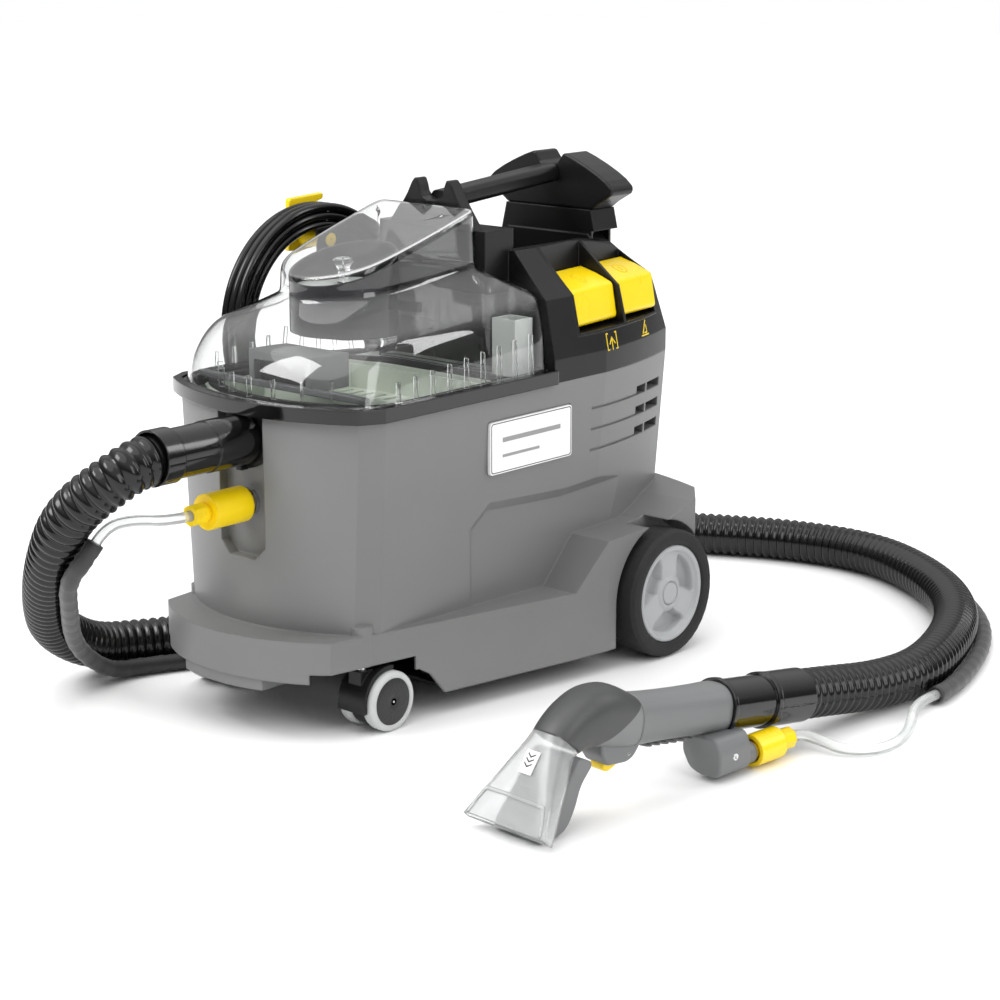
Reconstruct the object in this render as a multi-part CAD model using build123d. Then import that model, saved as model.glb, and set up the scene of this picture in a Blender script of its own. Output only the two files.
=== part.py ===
from build123d import *
import math
import os

# Spot extractor: a small spray-extraction machine with its suction hose and hand tool.
# Millimetres.  +Z is up, the nose with the hose port faces -Y, and the switches are on the +X side.
# The origin is on the floor, under the middle of the machine.

# ---- overall sizes ----
RIM_FRONT = -224.0        # nose of the tub at its rim, on the centre plane
RIM_BACK = 256.0          # tail of the tub at its rim
RIM_HALF = 115.0          # half the width of the tub at its rim
RIM_Z = 262.0             # top edge of the tub
FOOT_Z = 92.0             # where the tub grows out of its skirt
HOUSING_TOP = RIM_Z + 110.0    # top of the rear housing's deck
WALL = 3.0
DRAFT = 9.0               # how much narrower the tub is at its foot, each side

# ---- skirt ----
SKIRT_FRONT = -257.0
SKIRT_BACK = 246.0
SKIRT_NOSE_HALF = 98.0    # half width at the front creases
SKIRT_NOSE_Y = -220.0
SKIRT_HALF = 148.0        # half width beside the wheels
SKIRT_LOW = 20.0
SKIRT_NOSE_LOW = 51.0
SKIRT_LEDGE = 82.0
SKIRT_REAR_LEDGE = 122.0
SKIRT_WALL = 3.0

# ---- running gear ----
WHEEL_R = 58.6
WHEEL_Y = 152.0
WHEEL_OUT = 162.0         # outer face of a rear wheel
WHEEL_W = 34.0
RIM_R = 44.6
AXLE_R = 5.0
ARCH_GAP = 7.0
CASTER_X = 94.0
CASTER_Y = -182.0
CASTER_R = 25.5
CASTER_TRAIL = 18.0
CASTER_WHEEL_W = 12.0
CASTER_INNER = 8.0        # from a caster's middle to its wheel's inner face
FIT = 0.05                # running clearance of pins and shafts
GAP = 0.3                 # clearance between curved faces of different bodies

# ---- lid and tanks ----
LID_BACK = 38.0
LID_WALL = 2.5
LID_Z = RIM_Z + 9.0       # underside of the lid's flange
SHOULDER_Z = RIM_Z + 69.0
TURRET_Y = -100.0
TURRET_R = 54.0
TURRET_Z = RIM_Z + 119.0       # height of the slanted turret top at its axis
HIGH = RIM_Z + 200.0           # above everything, for cutting


def raised(points):
    """Points given as (place, height above the rim)."""
    return [(u, RIM_Z + up) for u, up in points]
TOP_SLOPE = 0.30
BLOCK_HALF = 60.0
BLOCK_BACK = 5.0
TANK_HALF = 100.0
TANK_FRONT = -196.0
TANK_BACK = 0.0
TANK_LOW = 125.0
TANK_WALL = 2.5

# ---- hose and cables ----
HOSE_D = 42.0
SPRAY_D = 9.0
SLEEVE_D = 15.0
SLEEVE_WALL = 2.5
PORT_Z = 240.0
SPRAY_PORT_Z = 186.0
CABLE_D = 8.0
COIL_R = 108.0            # outer radius of the cable coil
COIL_BAND = 24.0          # its depth, both ways
COIL_CENTRE = (-134.0, -2.0, 294.0)
TOOL_FRAME = (345.0, -294.0, -4.8)     # where the mouth stands on the floor, and its heading
TOOL_FALL = 0.135         # how far the handle falls for each unit towards the hose
TOOL_Z = 64.5             # height of the handle's axis at its front end
TOOL_START = 133.0        # distance from the mouth to the handle's front end
TOOL_END = 334.0          # distance from the mouth to the end of the hose cuff

# ---- hand tool ----
MOUTH_HALF = 44.0

def vent_rows():
    """Heights of the undersides of the three rows of vents."""
    return [RIM_Z - 31 - 19 * row for row in range(3)]

os.makedirs("parts", exist_ok=True)


def save(name, *solids):
    shape = solids[0] if len(solids) == 1 else Compound(children=list(solids))
    export_step(shape, f"parts/{name}.step")


def mirror_x(shape):
    return mirror(shape, about=Plane.YZ)


def both(shape):
    return [shape, mirror_x(shape)]


def fuse(shapes):
    whole = shapes[0]
    for shape in shapes[1:]:
        whole = whole + shape
    return whole


def box(x0, x1, y0, y1, z0, z1):
    size = Box(x1 - x0, y1 - y0, z1 - z0)
    return Pos((x0 + x1) / 2, (y0 + y1) / 2, (z0 + z1) / 2) * size


def cylinder_x(radius, x0, x1, y, z):
    return Pos((x0 + x1) / 2, y, z) * Rot(0, 90, 0) * Cylinder(radius, x1 - x0)


def cylinder_y(radius, y0, y1, x, z):
    return Pos(x, (y0 + y1) / 2, z) * Rot(90, 0, 0) * Cylinder(radius, y1 - y0)


def cylinder_z(radius, z0, z1, x=0.0, y=0.0):
    return Pos(x, y, (z0 + z1) / 2) * Cylinder(radius, z1 - z0)


def ring_z(outer, inner, z0, z1, x=0.0, y=0.0):
    return cylinder_z(outer, z0, z1, x, y) - cylinder_z(inner, z0 - 1, z1 + 1, x, y)


def side_prism(points, x0, x1):
    """A prism along X whose outline is given as (y, z) points."""
    face = make_face(Polyline([(x0, y, z) for y, z in points], close=True))
    return extrude(face, amount=x1 - x0, dir=(1, 0, 0))


def front_prism(points, y0, y1):
    """A prism along Y whose outline is given as (x, z) points."""
    face = make_face(Polyline([(x, y0, z) for x, z in points], close=True))
    return extrude(face, amount=y1 - y0, dir=(0, 1, 0))


def tub_face(z, inset=0.0, draft=0.0):
    """The tub's plan: an arched nose, creased corners, straight sides and a rounded tail."""
    half = RIM_HALF - inset - draft
    front = RIM_FRONT + inset
    back = RIM_BACK - inset - draft
    crease = half - 10.0
    crease_y = front + 33.0
    side_y = crease_y + 20.0
    tail_y = back - 146.0
    corner_y = back - 21.0
    corner = half - 30.0
    mid_y = (tail_y + corner_y) / 2 + 10
    lines = [
        ThreePointArc((-crease, crease_y, z), (0, front, z), (crease, crease_y, z)),
        Line((crease, crease_y, z), (half, side_y, z)),
        Line((half, side_y, z), (half, tail_y, z)),
        ThreePointArc((half, tail_y, z), (half - 13.0, mid_y, z), (corner, corner_y, z)),
        ThreePointArc((corner, corner_y, z), (0, back, z), (-corner, corner_y, z)),
        ThreePointArc((-corner, corner_y, z), (13.0 - half, mid_y, z), (-half, tail_y, z)),
        Line((-half, tail_y, z), (-half, side_y, z)),
        Line((-half, side_y, z), (-crease, crease_y, z)),
    ]
    return make_face(lines)


def tub_block(z0, z1, inset=0.0):
    """The tub's outline as a solid, drafted below the rim."""
    def draft_at(z):
        return DRAFT * max(0.0, min(1.0, (RIM_Z - z) / (RIM_Z - FOOT_Z)))
    return loft([tub_face(z0, inset, draft_at(z0)), tub_face(z1, inset, draft_at(z1))], ruled=True)


def skirt_face(z, inset=0.0):
    """The skirt's plan: arched nose, sides that flare out to the wheels, clipped rear corners."""
    nose = SKIRT_NOSE_HALF - inset
    nose_y = SKIRT_NOSE_Y
    half = SKIRT_HALF - inset
    front = SKIRT_FRONT + inset
    back = SKIRT_BACK - inset
    right = [(nose, nose_y), (half - 6, 33), (half, 76), (half, back - 45), (half - 20, back - 20)]
    points = [(x, y, z) for x, y in right]
    left = [(-x, y, z) for x, y in reversed(right)]
    lines = [ThreePointArc(left[-1], (0, front, z), points[0])]
    lines += [Line(a, b) for a, b in zip(points, points[1:])]
    lines += [ThreePointArc(points[-1], (0, back, z), left[0])]
    lines += [Line(a, b) for a, b in zip(left, left[1:])]
    return make_face(lines)


def skirt_profile(inset=0.0):
    """The skirt from the side: low ledge in front, a ramp, and a high ledge over the wheels."""
    reach = SKIRT_HALF + 30
    top = [(SKIRT_FRONT - 9, SKIRT_LEDGE + 4), (37, SKIRT_LEDGE - 2), (76, SKIRT_REAR_LEDGE - 2),
           (151, SKIRT_REAR_LEDGE), (197, SKIRT_REAR_LEDGE + 12), (SKIRT_BACK + 9, SKIRT_REAR_LEDGE + 22)]
    top = [(y, z - inset) for y, z in top]
    low = [(SKIRT_BACK + 9, SKIRT_LOW - inset), (-105, SKIRT_LOW - inset), (-120, SKIRT_NOSE_LOW - 12 - inset),
           (-132, SKIRT_NOSE_LOW - 5 - inset), (SKIRT_FRONT - 9, SKIRT_NOSE_LOW - inset)]
    return side_prism(top + low, -reach, reach)


def skirt_block(inset=0.0):
    plan = extrude(skirt_face(SKIRT_LOW - 9, inset), amount=SKIRT_REAR_LEDGE + 40, dir=(0, 0, 1))
    return plan & skirt_profile(inset)


def wheel_arches():
    """Pockets for the rear wheels, open to the side and below."""
    inner = WHEEL_OUT - WHEEL_W - ARCH_GAP
    arch = cylinder_x(WHEEL_R + ARCH_GAP, inner, WHEEL_OUT + 20, WHEEL_Y, WHEEL_R)
    slot = box(inner, WHEEL_OUT + 20, WHEEL_Y - WHEEL_R - ARCH_GAP, WHEEL_Y + WHEEL_R + ARCH_GAP, 0, WHEEL_R)
    return both(arch + slot)


def vent_slots():
    """Three rows of two slots in each side of the tub, near the tail."""
    slots = []
    for z in vent_rows():
        for y0, y1 in ((168, 187), (190, 220)):
            slots.append(box(RIM_HALF - 40, RIM_HALF + 20, y0, y1, z, z + 8))
    whole = fuse(slots)
    return whole + mirror_x(whole)


def vent_grooves():
    """The engraved lines that lead to the slots."""
    depth = 1.2
    lines = fuse([box(RIM_HALF - 20, RIM_HALF + 5, 92, 169, z, z + 1.6) for z in vent_rows()])
    lines = lines - tub_block(FOOT_Z - 12, RIM_Z, depth)
    return lines + mirror_x(lines)


def nose_bumper():
    """The light step under the nose, between the casters."""
    plan = extrude(skirt_face(SKIRT_NOSE_LOW - 10, SKIRT_WALL - 1), amount=14, dir=(0, 0, 1))
    return plan & box(-46, 46, -300, -206, 0, 100)


def side_panel(side=1):
    """The recessed lower side panel, with a sloping upper front edge and a soft step round it."""
    depth, slope = 5.0, 55.0
    y_front, z_top = -58.0, 148.0
    outline = [(y_front, FOOT_Z - 30), (y_front, z_top), (-38, z_top + 14), (60, z_top + 9),
               (150, z_top + 13), (230, z_top + 23), (300, z_top + 23), (300, FOOT_Z - 30)]
    x = RIM_HALF - DRAFT * 0.6 - depth
    face = make_face(Polyline([(x, y, z) for y, z in outline], close=True))
    cut = extrude(face, amount=12, dir=(1, 0, 0), taper=-slope)
    return cut if side > 0 else mirror_x(cut)


def nose_recess():
    """The shallow flat pocket in the nose that carries the hose port and the spray socket."""
    outline = [(-26, 262), (26, 262), (26, 152), (15, 141), (-15, 141), (-26, 152)]
    return front_prism(outline, RIM_FRONT - 30, RIM_FRONT + 11)


def port_bores():
    bore = cylinder_y(20, RIM_FRONT - 20, TANK_FRONT + 6, 0, PORT_Z)
    spray = cylinder_y(9, RIM_FRONT - 20, RIM_FRONT + 30, 0, SPRAY_PORT_Z)
    return [bore, spray]


def nose_wall():
    """The thickened wall behind the nose pocket."""
    return box(-34, 34, RIM_FRONT + 5, RIM_FRONT + 16, 134, RIM_Z) & tub_block(FOOT_Z, RIM_Z)


def label_pocket():
    return box(RIM_HALF - 2.5, RIM_HALF + 20, *LABEL_Y, *LABEL_Z)


LABEL_Y = (-46.0, 62.0)
LABEL_Z = (195.0, 241.0)


def body_shell():
    tub = tub_block(FOOT_Z - 12, RIM_Z)
    for side in (1, -1):
        tub = tub - side_panel(side)
    shell = tub + skirt_block()
    cavity = tub_block(FOOT_Z + 3, RIM_Z + 1, WALL + 5)
    under = skirt_block(SKIRT_WALL) & box(-200, 200, -300, 300, 0, SKIRT_LEDGE - 8)
    shell = shell - cavity - under
    shell = shell + nose_wall() + nose_bumper()
    shell = shell - nose_recess()
    shell = shell - fuse(wheel_arches()) - vent_slots() - vent_grooves() - label_pocket()
    for bore in port_bores():
        shell = shell - bore
    ribs = [box(x - 2, x + 2, -180, -10, FOOT_Z + 3, TANK_LOW) for x in (-70, -25, 25, 70)]
    shell = fuse([shell] + ribs)
    for x in (-CASTER_X, CASTER_X):
        shell = shell - caster_swivel_space(x)
        shell = shell + cylinder_z(11, 2 * CASTER_R + 7, FOOT_Z, x, CASTER_Y)
        shell = shell - cylinder_z(5 + FIT, 40, FOOT_Z - 6, x, CASTER_Y)
    return shell - cylinder_x(AXLE_R, -WHEEL_OUT, WHEEL_OUT, WHEEL_Y, WHEEL_R)


def underside_pan():
    """The cover plate under the skirt, between the casters and the wheels."""
    inner = WHEEL_OUT - WHEEL_W - ARCH_GAP
    plan = extrude(skirt_face(SKIRT_LOW + 4, SKIRT_WALL + 8), amount=3, dir=(0, 0, 1))
    pan = plan & box(-200, 200, -106, 230, 0, 60)
    pockets = [box(inner - 6, 200, WHEEL_Y - WHEEL_R - 14, WHEEL_Y + WHEEL_R + 14, 0, 60)]
    for pocket in pockets:
        pan = pan - pocket - mirror_x(pocket)
    for x, y in pan_screw_points():
        pan = pan - cylinder_z(5, 0, 60, x, y)
        pan = pan + ring_z(7, 2.2, SKIRT_LOW + 7, SKIRT_LEDGE - 8, x, y)
    return pan


def pan_screw_points():
    return [(x, y) for x in (-85, 85) for y in (-90, 30, 210)]


def pan_screws():
    """Screws sunk in the pan, so that its face is flat."""
    screws = []
    for x, y in pan_screw_points():
        head = cylinder_z(4.5, SKIRT_LOW + 4.2, SKIRT_LOW + 7, x, y)
        socket = cylinder_z(2, SKIRT_LOW, SKIRT_LOW + 6, x, y)
        shank = cylinder_z(2.1, SKIRT_LOW + 7, SKIRT_LOW + 26, x, y)
        screws.append(head + shank - socket)
    return screws


def rim_band():
    """The dark band round the tub's mouth, in front of the rear housing."""
    outer = extrude(tub_face(RIM_Z, -5), amount=12, dir=(0, 0, 1))
    inner = extrude(tub_face(RIM_Z - 1, WALL + 1.5), amount=15, dir=(0, 0, 1))
    band = (outer - inner) & box(-200, 200, -300, LID_BACK + 1, 0, 400)
    rebate = extrude(tank_face(LID_Z, RIM_HALF - 3 + GAP, RIM_FRONT + 3 - GAP, LID_BACK + 5), amount=9,
                     dir=(0, 0, 1))
    return band - rebate


# ---- tank group ----

def tank_face(z, half, front, back):
    crease = half - 8
    lines = [
        ThreePointArc((-crease, front + 30, z), (0, front, z), (crease, front + 30, z)),
        Line((crease, front + 30, z), (half, front + 46, z)),
        Line((half, front + 46, z), (half, back, z)),
        Line((half, back, z), (-half, back, z)),
        Line((-half, back, z), (-half, front + 46, z)),
        Line((-half, front + 46, z), (-crease, front + 30, z)),
    ]
    return make_face(lines)


def waste_tank():
    outer = loft([tank_face(TANK_LOW, TANK_HALF - 8, TANK_FRONT + 6, TANK_BACK - 6),
                  tank_face(LID_Z - 5, TANK_HALF, TANK_FRONT, TANK_BACK)], ruled=True)
    inner = loft([tank_face(TANK_LOW + TANK_WALL, TANK_HALF - 8 - TANK_WALL, TANK_FRONT + 6 + TANK_WALL,
                            TANK_BACK - 6 - TANK_WALL),
                  tank_face(LID_Z, TANK_HALF - TANK_WALL, TANK_FRONT + TANK_WALL, TANK_BACK - TANK_WALL)],
                 ruled=True)
    flange = extrude(tank_face(LID_Z - 7, TANK_HALF + 5, TANK_FRONT - 5, TANK_BACK + 4), amount=2, dir=(0, 0, 1))
    tank = (outer + flange) - inner
    inlet = cylinder_y(17, TANK_FRONT - 20, TANK_FRONT + 12, 0, PORT_Z)
    return tank - inlet


def lid_gasket():
    z = LID_Z - 5
    outer = extrude(tank_face(z, TANK_HALF + 3, TANK_FRONT - 3, TANK_BACK + 2), amount=5, dir=(0, 0, 1))
    inner = extrude(tank_face(z - 1, TANK_HALF - TANK_WALL, TANK_FRONT + TANK_WALL, TANK_BACK - TANK_WALL),
                    amount=7, dir=(0, 0, 1))
    return outer - inner


def fluff_filter():
    """The sieve that stands in the waste tank, a shallow basket with a slotted floor."""
    basket = box(-78, 78, -120, -14, LID_Z - 30, LID_Z - 6) - box(-76, 76, -118, -16, LID_Z - 28, LID_Z)
    slots = fuse([box(x, x + 5, -112, -22, LID_Z - 35, LID_Z - 20) for x in range(-70, 70, 14)])
    return basket - slots


def filter_posts():
    """Four feet that carry the sieve on the tank's floor."""
    return [cylinder_z(5, TANK_LOW + TANK_WALL, LID_Z - 30, x, y) for x in (-68, 68) for y in (-108, -26)]


def lid_top(y, drop=0.0):
    return TURRET_Z + TOP_SLOPE * (y - TURRET_Y) - drop


def slanted_below(drop=0.0):
    """Everything under the slanted plane that caps the turret and the block behind it."""
    y0, y1 = -260, 60
    points = [(y0, 0), (y1, 0), (y1, lid_top(y1, drop)), (y0, lid_top(y0, drop))]
    return side_prism(points, -200, 200)


def lid_block(inset=0.0):
    """The clear lid's outer form: sloping hull, raised centre block and turret."""
    back = LID_BACK - inset
    z0 = LID_Z - (1 if inset else 0)
    low = tank_face(z0, RIM_HALF - 3 - inset, RIM_FRONT + 3 + inset, back)
    mid = tank_face(SHOULDER_Z - 12 - inset, RIM_HALF - 10 - inset, RIM_FRONT + 24 + inset, back)
    top = tank_face(SHOULDER_Z + 22 - inset, 68 - inset, RIM_FRONT + 74 + inset, back)
    hull = loft([low, mid, top], ruled=True)
    block = box(-BLOCK_HALF + inset, BLOCK_HALF - inset, -78, BLOCK_BACK - inset, LID_Z + 30, HIGH)
    turret = cylinder_z(TURRET_R - inset, LID_Z + 30, HIGH, 0, TURRET_Y)
    raised_part = (block + turret) & slanted_below(inset)
    return (hull + raised_part) - lid_notch(inset)


def lid():
    inner_low = lid_block(LID_WALL) & box(-200, 200, -300, 80, LID_Z + 3, HIGH)
    hole = extrude(tank_face(LID_Z - 1, TANK_HALF - 4, TANK_FRONT + 4, TANK_BACK - 4), amount=5, dir=(0, 0, 1))
    neck = box(NECK_X[0] - 1, NECK_X[1] + 4, 6, LID_BACK - 4, LID_Z - 2, LID_Z + 9)
    return lid_block() - inner_low - hole - neck


TOWER_Z = LID_Z + 45.0         # foot of the suction tower


NECK_X = (68.0, 94.0)


def suction_tower():
    """The dark cylinder under the turret that guides the air and holds the float."""
    radius = TURRET_R - 8
    foot = TOWER_Z - 3
    tube_part = ring_z(radius, radius - 2.5, TOWER_Z, HIGH, 0, TURRET_Y) & slanted_below(11)
    grille = ring_z(radius, radius - 8, foot, TOWER_Z, 0, TURRET_Y)
    bars = box(-radius + 4, radius - 4, TURRET_Y - 3, TURRET_Y + 3, foot, TOWER_Z)
    bars = bars + box(-3, 3, TURRET_Y - radius + 4, TURRET_Y + radius - 4, foot, TOWER_Z)
    pin = cylinder_z(3, TOWER_Z, TOWER_Z + 36, 0, TURRET_Y)
    arms = box(radius - 14, BLOCK_HALF - LID_WALL, TURRET_Y + 28, TURRET_Y + 34, TOWER_Z + 14, TOWER_Z + 22)
    return tube_part + grille + bars + pin + arms + mirror_x(arms)


def float_disc():
    radius = TURRET_R - 20
    disc = cylinder_z(radius, TOWER_Z + GAP, TOWER_Z + 14, 0, TURRET_Y)
    disc = disc - cylinder_z(3 + FIT * 4, TOWER_Z - 16, TOWER_Z + 44, 0, TURRET_Y)
    return disc - ring_z(radius - 4, 8, TOWER_Z - 6, TOWER_Z + 8, 0, TURRET_Y)


def deflector():
    """The grey hood over the tank's inlet."""
    low, high = LID_Z + 4, LID_Z + 25
    hood = box(-36, 36, -176, -132, high, high + 8)
    cheeks = box(-36, -33, -176, -132, low, high) + box(33, 36, -176, -132, low, high)
    back = box(-33, 33, -135, -132, low, high)
    legs = box(-36, -30, -176, -170, LID_Z + 3, high) + box(30, 36, -176, -170, LID_Z + 3, high)
    return hood + cheeks + back + legs + deflector_beam()


def deflector_beam():
    """A bridge from the hood to the lid's flange at both sides."""
    return box(-98, 98, -178, -172, LID_Z + 3, LID_Z + 8)


# ---- rear group ----

def housing_block(inset=0.0):
    """The rear housing's outer form, from the rim up to the deck."""
    faces = [tub_face(RIM_Z, inset), tub_face(RIM_Z + 20, inset), tub_face(SHOULDER_Z + 2, inset + 10.5),
             tub_face(SHOULDER_Z + 16 - inset, inset + 24), tub_face(HOUSING_TOP - inset, inset + 46)]
    return loft(faces, ruled=True)


def housing_deck():
    """The raised middle: a front block, two rails and the wall under the rear rest."""
    top = HOUSING_TOP + 19
    deck = box(-62, 62, BLOCK_BACK + 4, LID_BACK + 8, HOUSING_TOP - 36, top)
    deck = deck - box(-58.5, 58.5, BLOCK_BACK + 7.5, LID_BACK + 30, HOUSING_TOP - 42, top - 4)
    wall = front_prism(raised([(-62, 81), (62, 81), (50, 132), (-50, 132)]), *REAR_SADDLE_Y)
    inner = raised([(-58, 78), (58, 78), (47, 128), (-47, 128)])
    return deck + (wall - front_prism(inner, REAR_SADDLE_Y[0] + 3, REAR_SADDLE_Y[1] - 3))


def rear_housing():
    shell = housing_block() - housing_block(WALL)
    shell = shell & box(-200, 200, LID_BACK + 1.5, 300, RIM_Z, HIGH)
    front_wall = housing_block() & box(-200, 200, LID_BACK + 1.5, LID_BACK + 4.5, RIM_Z, HIGH)
    window = box(-80, 80, LID_BACK, LID_BACK + 6, RIM_Z - 1, RIM_Z + 38)
    shell = shell + (front_wall - window)
    tray = box(-56, 56, LID_BACK + 8, 165, TRAY_Z, HIGH)
    tray_wall = box(-59, 59, LID_BACK + 5, 168, TRAY_Z - 3, HOUSING_TOP - 1) & housing_block()
    shell = (shell + tray_wall + housing_deck()) - tray
    shell = shell - panel_pocket()
    shell = shell + hook_arm() - hook_bore()
    shell = shell - gland_bore()
    return shell - intake_grooves()


TRAY_Z = RIM_Z + 78.0


def intake_grooves():
    """Air slots across the tail of the housing."""
    return fuse([box(-40, 40, 225, 270, z, z + 4) for z in (285, 297, 309)])


def front_saddle():
    """The forked rest at the front of the bar."""
    y0, y1 = SADDLE_Y
    outline = raised([(-38, 129), (38, 129), (27, 144), (21, 170), (16, 170), (13, 162), (-13, 162), (-16, 170),
                      (-21, 170), (-27, 144)])
    return front_prism(outline, y0, y1) - cylinder_y(13, y0 - 1, y1 + 1, 0, RIM_Z + 165)


def rear_saddle():
    """The winged rest at the rear of the bar."""
    y0, y1 = REAR_SADDLE_Y
    outline = raised([(-50, 132), (50, 132), (74, 149), (44, 168), (17, 181), (13, 178), (-13, 178), (-17, 181),
                      (-44, 168), (-74, 149)])
    wing = front_prism(outline, y0, y1) - cylinder_y(13, y0 - 1, y1 + 1, 0, RIM_Z + 183)
    trim = side_prism(raised([(y0 - 1, 118), (y0 + 9, 118), (y0 - 1, 158)]), -90, 90)
    return wing - trim


SIDE_TURN = 7.7           # degrees by which the switch side turns in towards the tail


def side_turned(shape):
    """Turns a piece drawn parallel to Y onto the tapering side of the rear housing."""
    return Pos(105, 78, 0) * Rot(0, 0, SIDE_TURN) * Pos(-105, -78, 0) * shape


def handle_bar():
    """The carrying bar between the two saddles, rising a little to the rear."""
    middle = RIM_Z + 150
    section = Plane.XZ * Pos(0, middle) * RectangleRounded(24, 16, 6)
    bar = extrude(section, amount=400, both=True)
    slope = math.degrees(math.atan(9 / 111))
    bar = Pos(0, 49, middle + 3) * Rot(slope, 0, 0) * Pos(0, 0, -middle) * bar
    return bar & box(-30, 30, SADDLE_Y[1], REAR_SADDLE_Y[0], RIM_Z + 118, HIGH)


SADDLE_Y = (BLOCK_BACK + 4, BLOCK_BACK + 17)
REAR_SADDLE_Y = (166.0, 200.0)


PANEL_Y0, PANEL_Y1 = 74.0, 219.0


def panel_pocket():
    return side_turned(front_prism(panel_outline(2.5), PANEL_Y0, PANEL_Y1))


def switch_panel():
    """The dark tray that the rockers sit in."""
    shell = front_prism(panel_outline(2.5), PANEL_Y0, PANEL_Y1)
    hollow = fuse([front_prism(panel_outline(0), y0 - 1, y1 + 1) for y0, y1 in rocker_spans()])
    plate = side_turned(shell - hollow) & housing_block()
    x, z = ROCKER_PIN
    return plate - side_turned(cylinder_y(2.5, PANEL_Y0 + 1, PANEL_Y1 - 1, x, z))


def rocker_spans():
    return [(78.0, 146.0), (152.0, 215.0)]


ROCKER_PIN = (88.0, RIM_Z + 66.0)


def panel_outline(grow):
    """The pocket's outline across the side: open upwards and outwards."""
    return raised([(66 - grow, 113), (66 - grow, 78 - grow), (76 - grow, 52 - grow), (92, 38 - grow),
                   (125, 38 - grow), (125, 113)])


def rocker(index):
    """A folded rocker key on a pin along the side."""
    y0, y1 = rocker_spans()[index]
    outline = raised([(71, 85), (102, 73), (106, 50), (101, 48), (84, 56), (72, 79)])
    x, z = ROCKER_PIN
    key = front_prism(outline, y0, y1) - cylinder_y(2.5 + FIT, y0 - 1, y1 + 1, x, z)
    return side_turned(key)


def rocker_pins():
    x, z = ROCKER_PIN
    return [side_turned(cylinder_y(2.5, PANEL_Y0 + 1, PANEL_Y1 - 1, x, z))]


def label_plate():
    """The plain plate on the tub's side, in a shallow pocket."""
    return box(RIM_HALF - 2.5, RIM_HALF + 1.0, *LABEL_Y, *LABEL_Z)


def caster_swivel_space(x):
    """The room a caster needs to turn under the skirt."""
    reach = math.hypot(CASTER_TRAIL + CASTER_R, CASTER_INNER + CASTER_WHEEL_W) + 2
    return cylinder_z(reach, 0, 2 * CASTER_R + 7, x, CASTER_Y)


# ---- machinery inside ----
FAN_Y = 160.0


def motor_housing():
    casing = cylinder_z(62, FOOT_Z + 3, FOOT_Z + 53, 0, FAN_Y) - cylinder_z(58, FOOT_Z + 6, FOOT_Z + 50, 0, FAN_Y)
    can = cylinder_z(44, FOOT_Z + 53, 230, 0, FAN_Y)
    bore = cylinder_z(4.6 + FIT, FOOT_Z + 8, 226, 0, FAN_Y)
    eye = ring_x_port()
    return casing + can - bore - eye


def ring_x_port():
    """The fan casing's inlet, towards the air duct."""
    return cylinder_y(11, FAN_Y - 70, FAN_Y - 50, 0, FOOT_Z + 28)


def impeller():
    disc = cylinder_z(52, FOOT_Z + 40, FOOT_Z + 43, 0, FAN_Y)
    hub = cylinder_z(10, FOOT_Z + 16, FOOT_Z + 43, 0, FAN_Y)
    shaft = cylinder_z(4.6, FOOT_Z + 10, 220, 0, FAN_Y)
    blades = [Pos(0, FAN_Y, 0) * Rot(0, 0, angle) * box(9, 50, -1.2, 1.2, FOOT_Z + 20, FOOT_Z + 40)
              for angle in range(0, 360, 45)]
    return fuse([disc + hub + shaft] + blades)


def pump():
    case = box(-90, -62, 60, 134, FOOT_Z + 3, FOOT_Z + 45)
    head = cylinder_y(10, 46, 60, -76, FOOT_Z + 16)
    return case + head


def pump_line():
    """The pressure line from the pump to the spray socket, under the waste tank."""
    z = FOOT_Z + 16
    y_front = RIM_FRONT + 20.5
    points = [(-76, 46, z), (-76, 18, z), (-52, -30, z), (-48, -110, z), (-40, -176, z),
              (-14, y_front, z + 14), (0, y_front, 148), (0, y_front, SPRAY_PORT_Z - 9)]
    return tube(points, 6, 1)[0]


def fresh_tank():
    outer = box(-98, 98, 10, 36, FOOT_Z + 30, LID_Z - 2)
    inner = box(-95.5, 95.5, 12.5, 33.5, FOOT_Z + 32.5, LID_Z - 5)
    x0, x1 = NECK_X
    neck = box(x0, x1, 10, 33, LID_Z - 2, 318)
    bore = box(x0 + 2.5, x1 - 2.5, 12.5, 30.5, LID_Z - 6, 330)
    return (outer - inner + neck) - bore


def tank_shelf():
    """The stand under the clean-water tank, with a passage for the pressure line."""
    return box(-98, 98, 10, 36, FOOT_Z + 3, FOOT_Z + 30) - box(-92, -40, 0, 50, FOOT_Z, FOOT_Z + 26)


def air_duct():
    """The square duct from the lid's outlet down to the fan."""
    outer = box(-30, 30, 44, 66, FOOT_Z + 3, 330)
    inner = box(-27.5, 27.5, 46.5, 63.5, FOOT_Z, 331)
    return outer - inner


# ---- running gear ----

def rear_axle():
    return cylinder_x(AXLE_R, -WHEEL_OUT + 6, WHEEL_OUT - 6, WHEEL_Y, WHEEL_R)


def tyre():
    x0, x1 = WHEEL_OUT - WHEEL_W, WHEEL_OUT
    ring = cylinder_x(WHEEL_R, x0, x1, WHEEL_Y, WHEEL_R) - cylinder_x(RIM_R, x0 - 1, x1 + 1, WHEEL_Y, WHEEL_R)
    return chamfer(ring.edges().filter_by(GeomType.CIRCLE).group_by(SortBy.RADIUS)[-1], 4)


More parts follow.
